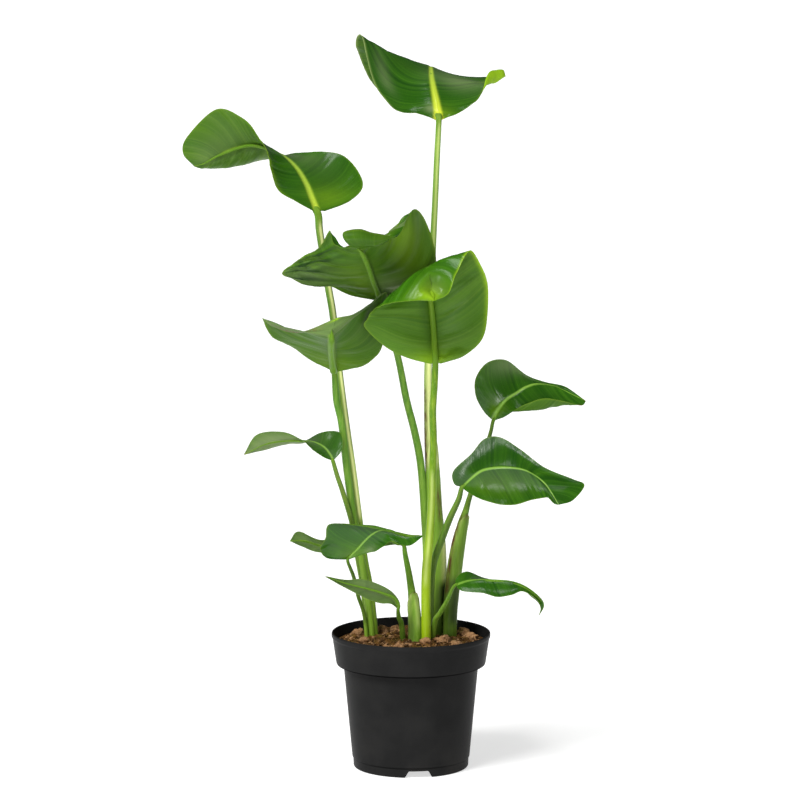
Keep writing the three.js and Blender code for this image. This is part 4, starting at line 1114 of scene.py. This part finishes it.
def rounded(outline, reach, steps=5, closed=True):
    """Outline whose corners are eased: each becomes the arc (1-t)^2 a + 2t(1-t) p + t^2 b
    between the points that lie up to reach before and after it."""
    p = np.asarray(outline, float)
    before, after = np.roll(p, 1, axis=0), np.roll(p, -1, axis=0)
    back = np.linalg.norm(before - p, axis=1, keepdims=True)
    on = np.linalg.norm(after - p, axis=1, keepdims=True)
    a = p + (before - p) * np.minimum(reach / back, 0.45)
    b = p + (after - p) * np.minimum(reach / on, 0.45)
    arcs = arc(a[:, None], p[:, None], b[:, None], np.linspace(0, 1, steps)[:, None])
    if not closed:
        arcs[0], arcs[-1] = p[0], p[-1]
    return arcs.reshape(-1, 2)


def turned(outline, sides):
    """Rings of points: the outline of radius and height, turned about the pot's axis."""
    angle = np.linspace(0, 2 * np.pi, sides, endpoint=False)[None]
    r, z = outline[:, :1], outline[:, 1:]
    return np.stack([r * np.cos(angle), r * np.sin(angle), z + 0 * angle], -1)


def split_long(outline, longest):
    """The closed outline with points added, so that no side is longer than longest."""
    after = np.roll(outline, -1, axis=0)
    pieces = np.maximum(1, np.ceil(np.linalg.norm(after - outline, axis=1) / longest)).astype(int)
    start = np.repeat(outline, pieces, axis=0)
    step = np.repeat((after - outline) / pieces[:, None], pieces, axis=0)
    number = np.arange(pieces.sum()) - np.repeat(np.cumsum(pieces) - pieces, pieces)
    return start + step * number[:, None]


def pot_wall():
    """Wall, band, rim and foot as one turned loop. The foot's lower edge rises by
    notch_height over each drain notch, with sloping ends."""
    wall, lip, rim, band, foot = (POT[part] for part in ("wall", "lip", "rim", "band", "foot"))
    low, high, draft, floor_low = (POT[part] for part in (
        "band_bottom", "height", "draft", "floor_rise"))
    floor_top = floor_low + POT["floor_thick"]
    bead_low = high - POT["bead"]
    outline = [
        # foot ring and the outside of the body
        (foot - POT["foot_ring"], 0), (foot - POT["foot_bevel"][0], 0),
        (foot, POT["foot_bevel"][1]), (foot + draft, POT["foot_height"]),
        (POT["body_bottom"] + draft, POT["foot_height"] + POT["foot_bevel"][1]),
        (POT["body_top"], low),
        # band, and the bead around the rim
        (band - POT["band_bevel"][0], low), (band - draft, low + POT["band_bevel"][1]),
        (band, low + POT["band_round"]),
        (rim - POT["bead_swell"], bead_low - POT["bead_blend"]), (rim, bead_low),
        (rim, high - POT["rim_round"][1]), (rim - POT["rim_round"][0], high),
        (rim - lip + POT["lip_round"][0], high), (rim - lip, high - POT["lip_round"][1]),
        # inside, down to the floor
        (band - wall, low + POT["band_inner"][1]),
        (band - wall - POT["band_inner"][0], low + wall),
        (POT["body_top"] - wall, low + wall), (POT["body_bottom"] - wall, floor_top),
        (foot - POT["floor_edges"][1], floor_top), (foot - POT["floor_edges"][0], floor_low),
    ]
    points = turned(split_long(rounded(outline, WALL_EASE), WALL_STEP), POT_SIDES)
    angle = np.arctan2(points[..., 1], points[..., 0])
    pitch = 2 * np.pi / POT["notches"]
    off = (angle - math.radians(POT["notch_turn"]) + np.pi / 2 + pitch / 2) % pitch - pitch / 2
    beside = abs(np.hypot(points[..., 0], points[..., 1]) * np.sin(off))
    opening = np.clip((POT["notch_foot"] - beside) / (POT["notch_foot"] - POT["notch_flat"]), 0, 1)
    points[..., 2] = np.maximum(points[..., 2], opening * POT["notch_height"])
    return points.reshape(-1, 3), grid_quads(*points.shape[:2], wrap=True, loop=True)


def pot_disc():
    """Flat disc in the middle of the underside, with its sloping side, as a closed plug."""
    low, thick, disc = POT["floor_rise"], POT["floor_thick"], POT["disc"]
    edge, side = disc + POT["disc_slope"], POT["disc_thick"]
    outline = [(0, 0), (disc, 0), (edge, low), (edge + POT["disc_flange"], low + thick),
               (edge - side, low + thick), (disc - side, thick), (0, thick)]
    points = turned(rounded(outline, DISC_EASE, closed=False), DISC_SIDES)
    return points.reshape(-1, 3), grid_quads(*points.shape[:2], wrap=True)


def pot_floor():
    """Floor between disc and foot, in one sector per drain hole. On each ray from the middle
    of the hole, points run in even steps from the hole's radius to where the ray first meets
    the sector's outline: one of its two circles or two sides. The walls of the hole and of
    the outline close it."""
    half = np.pi / POT["drains"]
    middle = POT["drain_circle"]
    inner, outer = POT["disc"] + POT["floor_reach"], POT["foot"] - POT["floor_reach"]
    ray = np.linspace(-np.pi, np.pi, FLOOR_RAYS, endpoint=False)
    way = np.stack([np.cos(ray), np.sin(ray)], -1)
    missed = 1e9  # farther than any outline

    def to_circle(radius):
        along = middle * way[:, 0]
        root = np.sqrt(np.maximum(along**2 - middle**2 + radius**2, 0))
        far, near = -along + root, -along - root
        hits = np.where(near > 0, near, far)
        return np.where((along**2 - middle**2 + radius**2 > 0) & (hits > 0), hits, missed)

    def to_side(sign):
        closing = way @ np.array([-math.sin(half), sign * math.cos(half)])
        gap = middle * math.sin(half)
        return np.where(closing > 1e-6, gap / np.maximum(closing, 1e-6), missed)

    reach = np.minimum.reduce([to_circle(inner), to_circle(outer), to_side(1), to_side(-1)])
    share = np.linspace(0, 1, FLOOR_RINGS)[:, None]
    length = POT["drain_radius"] + share * (reach - POT["drain_radius"])
    low, high = POT["floor_rise"], POT["floor_rise"] + POT["floor_thick"]
    flat = np.stack([middle + length * way[:, 0], length * way[:, 1]], -1)
    loop = np.concatenate([flat, flat[::-1]])
    height = np.repeat([low, high], len(share))[:, None] + 0 * loop[..., 0]
    turn = (np.arange(POT["drains"]) + 0.5) * 2 * half
    x, y = loop[..., 0], loop[..., 1]
    c, s = np.cos(turn)[:, None, None], np.sin(turn)[:, None, None]
    points = np.stack([x * c - y * s, x * s + y * c, height + 0 * c], -1)
    rows, sides = loop.shape[:2]
    quads = grid_quads(rows, sides, wrap=True, loop=True)[:, ::-1]
    quads = quads[None] + (np.arange(POT["drains"]) * rows * sides)[:, None, None]
    return points.reshape(-1, 3), quads.reshape(-1, 4)


pot = piece("nursery_pot", *joined([pot_wall(), pot_disc(), pot_floor()]), [POT_PLASTIC], weld=True)
settle(pot, "pot")


# ---------- potting mix ----------
MIX_RINGS, MIX_SIDES = 85, 220


def pot_inside(z):
    """Inner radius of the pot at a height within its band, where it widens evenly."""
    start, end = POT["band_bottom"] + POT["band_inner"][1], POT["height"] - 3
    share = (z - start) / (end - start)
    low, high = POT["band"] - POT["wall"], POT["rim"] - POT["lip"]
    return low + (high - low) * share


def mix_height(x, y):
    """Height of the loose surface at the share s of the pot's inner radius: its edge, a low
    mound times 1 - s^2, and shallow waves times 1 - s^4, which die out at the wall."""
    share = np.minimum(1, np.hypot(x, y) / pot_inside(SOIL["edge"]))
    height, length, phase, depth = SOIL["broad_hump"]
    humps = height * np.sin(x / length + phase) * np.cos(y / depth)
    height, length = SOIL["slant_hump"]
    humps = humps + height * np.sin((x - 2 * y) / length)
    return SOIL["edge"] + SOIL["mound"] * (1 - share**2) + humps * (1 - share**4)


def mix_body():
    """Closed body of the mix: turned sides, and on top fine rings whose heights are the
    mound's, plus three sizes of uneven crumbs times 1 - s^8, less the worn edge times s^6,
    at the share s of the radius."""
    gap, wall = SOIL["gap"], POT["wall"]
    floor_top = POT["floor_rise"] + POT["floor_thick"] + gap
    reach = pot_inside(SOIL["edge"]) - gap
    shoulder = POT["band_bottom"] + wall + gap
    sides = np.array([
        (0, POT["floor_thick"] + gap), (POT["disc"] - 2, POT["floor_thick"] + gap),
        (POT["disc"] + 2.2, floor_top), (POT["body_bottom"] - wall - gap, floor_top),
        (POT["body_top"] - wall - gap, shoulder), (POT["band"] - wall - 1.4, shoulder),
    ])
    rings = np.linspace(reach, 0, MIX_RINGS)
    outline = np.vstack([sides, np.stack([rings, np.full_like(rings, SOIL["edge"])], -1)])
    points = turned(outline, MIX_SIDES)
    top = points[len(sides):]
    share = np.hypot(top[..., 0], top[..., 1]) / reach
    level = mix_height(top[..., 0], top[..., 1])
    crumbs = sum(height * lumpy(top, size, seed) for height, size, seed in SOIL["crumbs"])
    top[..., 2] = level + crumbs * (1 - share**8) - SOIL["worn_edge"] * share**6
    return points.reshape(-1, 3), grid_quads(*points.shape[:2], wrap=True)


def round_lump(splits):
    """Twelve points and twenty faces of an icosahedron, each face split into four as often
    as asked, with every point pushed out to radius 1."""
    g = (1 + math.sqrt(5)) / 2
    points = unit(np.array([
        (-1, g, 0), (1, g, 0), (-1, -g, 0), (1, -g, 0), (0, -1, g), (0, 1, g),
        (0, -1, -g), (0, 1, -g), (g, 0, -1), (g, 0, 1), (-g, 0, -1), (-g, 0, 1),
    ], float))
    faces = np.array([
        (0, 11, 5), (0, 5, 1), (0, 1, 7), (0, 7, 10), (0, 10, 11), (1, 5, 9), (5, 11, 4),
        (11, 10, 2), (10, 7, 6), (7, 1, 8), (3, 9, 4), (3, 4, 2), (3, 2, 6), (3, 6, 8),
        (3, 8, 9), (4, 9, 5), (2, 4, 11), (6, 2, 10), (8, 6, 7), (9, 8, 1),
    ])
    for _ in range(splits):
        a, b, c = points[faces[:, 0]], points[faces[:, 1]], points[faces[:, 2]]
        corners = np.stack([a, b, c, a + b, b + c, c + a], 1)
        split = np.array([(0, 3, 5), (3, 1, 4), (5, 4, 2), (3, 4, 5)])
        every = (np.arange(len(faces))[:, None, None] * 6 + split).reshape(-1, 3)
        flat, number = np.unique(unit(corners.reshape(-1, 3)).round(6), axis=0, return_inverse=True)
        points, faces = unit(flat), number.reshape(-1)[every]
    return points, faces


def strewn(centres, sizes, seed, splits, rough):
    """Lumps at the centres. Each is the round lump drawn out by its three half sizes, dented by
    rough times an uneven height in space that differs from lump to lump, and turned at
    random. Each lump also draws its own tone."""
    random = np.random.default_rng(seed)
    shape, faces = round_lump(splits)
    count = len(centres)
    tilt = random.uniform(-0.5, 0.5, (2, count))
    spin = random.uniform(0, 2 * np.pi, count)
    moved = shape[None] + random.uniform(0, 50, (count, 1, 3))
    out = 1 + rough * (lumpy(moved, 1.5, seed, 20) + 0.45 * lumpy(moved, 0.6, seed + 1, 20))
    p = shape[None] * out[..., None] * sizes[:, None]
    for (i, j), angle in (((1, 2), tilt[0]), ((0, 2), tilt[1]), ((0, 1), spin)):
        c, s = np.cos(angle)[:, None], np.sin(angle)[:, None]
        a, b = p[..., i].copy(), p[..., j].copy()
        p[..., i], p[..., j] = a * c - b * s, a * s + b * c
    p = p + centres[:, None]
    every = faces[None] + (np.arange(count) * len(shape))[:, None, None]
    tone = np.repeat(random.uniform(0, 1, count), len(shape))
    return p.reshape(-1, 3), every.reshape(-1, 3), tone


# The ten large lumps of the part's source: x, y and half size.
BIG_LUMPS = np.array([
    (-70, 28, 11), (-38, 36, 11), (-22, 44, 10), (71, 30, 11), (79, 10, 10),
    (42, -30, 10), (20, -42, 9), (-62, -24, 10), (-16, -66, 9), (60, -52, 10),
], float)
# The smaller ones: how many, their half size, how often their faces are split, how rough.
SMALL_LUMPS = [(44, 4.2, 2, 0.25), (400, 2.2, 1, 0.25), (1200, 1.2, 0, 0.2)]
# Seeds of where the lumps lie, and of how each set of them is dented, turned and toned.
PLACE_SEED, SHAPE_SEED = 11, 30


def mix_lumps():
    """Bark and clay on the mix: the ten large lumps of the part, then seeded ones of three
    smaller sizes, spread evenly over the disc and sunk a little into the surface."""
    random = np.random.default_rng(PLACE_SEED)
    reach = pot_inside(SOIL["edge"]) - 5
    large = BIG_LUMPS[:, 2:] * np.array([0.9, 0.75, 0.65]) * random.uniform(0.85, 1.1, (10, 3))
    sets = [(BIG_LUMPS[:, :2], large, 3, 0.2)]
    for count, size, splits, rough in SMALL_LUMPS:
        radius = (reach - size) * np.sqrt(random.uniform(0, 1, count))
        angle = random.uniform(0, 2 * np.pi, count)
        spots = np.stack([radius * np.cos(angle), radius * np.sin(angle)], -1)
        shape = size * np.array([1.1, 0.9, 0.6]) * random.uniform(0.6, 1.3, (count, 3))
        sets.append((spots, shape, splits, rough))
    parts = []
    for k, (spots, shape, splits, rough) in enumerate(sets):
        level = mix_height(spots[:, 0], spots[:, 1]) + 0.25 * shape[:, 2]
        centres = np.column_stack([spots, level])
        points, faces, tone = strewn(centres, shape, SHAPE_SEED + k, splits, rough)
        # the large lumps are the palest
        parts.append((points, faces, {"tone": 0.4 + 0.6 * tone if k == 0 else tone**2.2}))
    return parts


peat = piece("potting_mix_bed", *mix_body(), [PEAT], weld=True)
settle(peat, "potting_mix")
strewn_lumps = mix_lumps()
lumps = piece("bark_lumps", *joined(strewn_lumps), [BARK], marks=joined_marks(strewn_lumps))
settle(lumps)


# ---------- studio, in metres ----------
FLOOR_REACH = 90.0
SKY_STRENGTH = 0.12
# The photograph's view, as fitted to the pot's ellipses: place, degrees down from level,
# and the lens and its sensor in millimetres.
CAMERA_PLACE, CAMERA_DOWN, LENS, SENSOR = (-0.0145, -4.6, 1.093), 7.48, 159.21, 36.0
CLIP_END = 400.0


def studio_floor():
    """Plain pale floor at the pot's underside."""
    r = FLOOR_REACH
    mesh = bpy.data.meshes.new("studio_floor")
    mesh.from_pydata([(-r, -r, 0), (r, -r, 0), (r, r, 0), (-r, r, 0)], [], [(0, 1, 2, 3)])
    mesh.materials.append(floor_finish())
    placed("studio_floor", mesh)


def lamp(name, kind, place, aim, mirrored=True, **settings):
    """A lamp at a place that shines at a point. One that isn't mirrored lights the leaves
    without a glare on them."""
    data = bpy.data.lights.new(name, kind)
    for setting, value in settings.items():
        setattr(data, setting, value)
    made = placed(name, data)
    made.location = place
    made.visible_glossy = mirrored
    x, y, z = np.array(aim, float) - np.array(place, float)
    made.rotation_euler = (math.atan2(math.hypot(x, y), -z), 0.0, math.atan2(-x, y))


def studio_lights():
    """Soft key high on the left, a weak wide fill from the right, a box over the plant, a
    strip that draws the highlight down the pot, and a dim sky all round."""
    lamp("key", "SUN", (-2.2, -2.6, 4.2), (0, 0, 0.5), mirrored=False, energy=2.6,
         angle=math.radians(24))
    lamp("fill", "SUN", (3.4, -3.0, 2.4), (0, 0, 0.5), mirrored=False, energy=0.5,
         angle=math.radians(60))
    lamp("top box", "AREA", (-0.9, -0.9, 2.4), (0, 0, 0.6), energy=14, shape="RECTANGLE",
         size=0.9, size_y=0.9)
    lamp("strip", "AREA", (-0.6, -1.6, 0.25), (0, 0, 0.1), energy=4.5, shape="RECTANGLE",
         size=0.25, size_y=0.5)
    world = bpy.data.worlds.new("studio")
    world.use_nodes = True
    sky = world.node_tree.nodes["Background"]
    sky.inputs["Color"].default_value = (1.0, 1.0, 1.0, 1.0)
    sky.inputs["Strength"].default_value = SKY_STRENGTH
    bpy.context.scene.world = world


def camera():
    """The photograph's camera, level across and turned down from the horizon."""
    data = bpy.data.cameras.new("camera")
    data.sensor_width = SENSOR
    data.lens = LENS
    data.clip_end = CLIP_END
    made = placed("camera", data)
    made.location = CAMERA_PLACE
    made.rotation_euler = (math.radians(90 - CAMERA_DOWN), 0.0, 0.0)
    bpy.context.scene.camera = made


studio_floor()
studio_lights()
camera()
bpy.context.scene.view_settings.view_transform = "Standard"
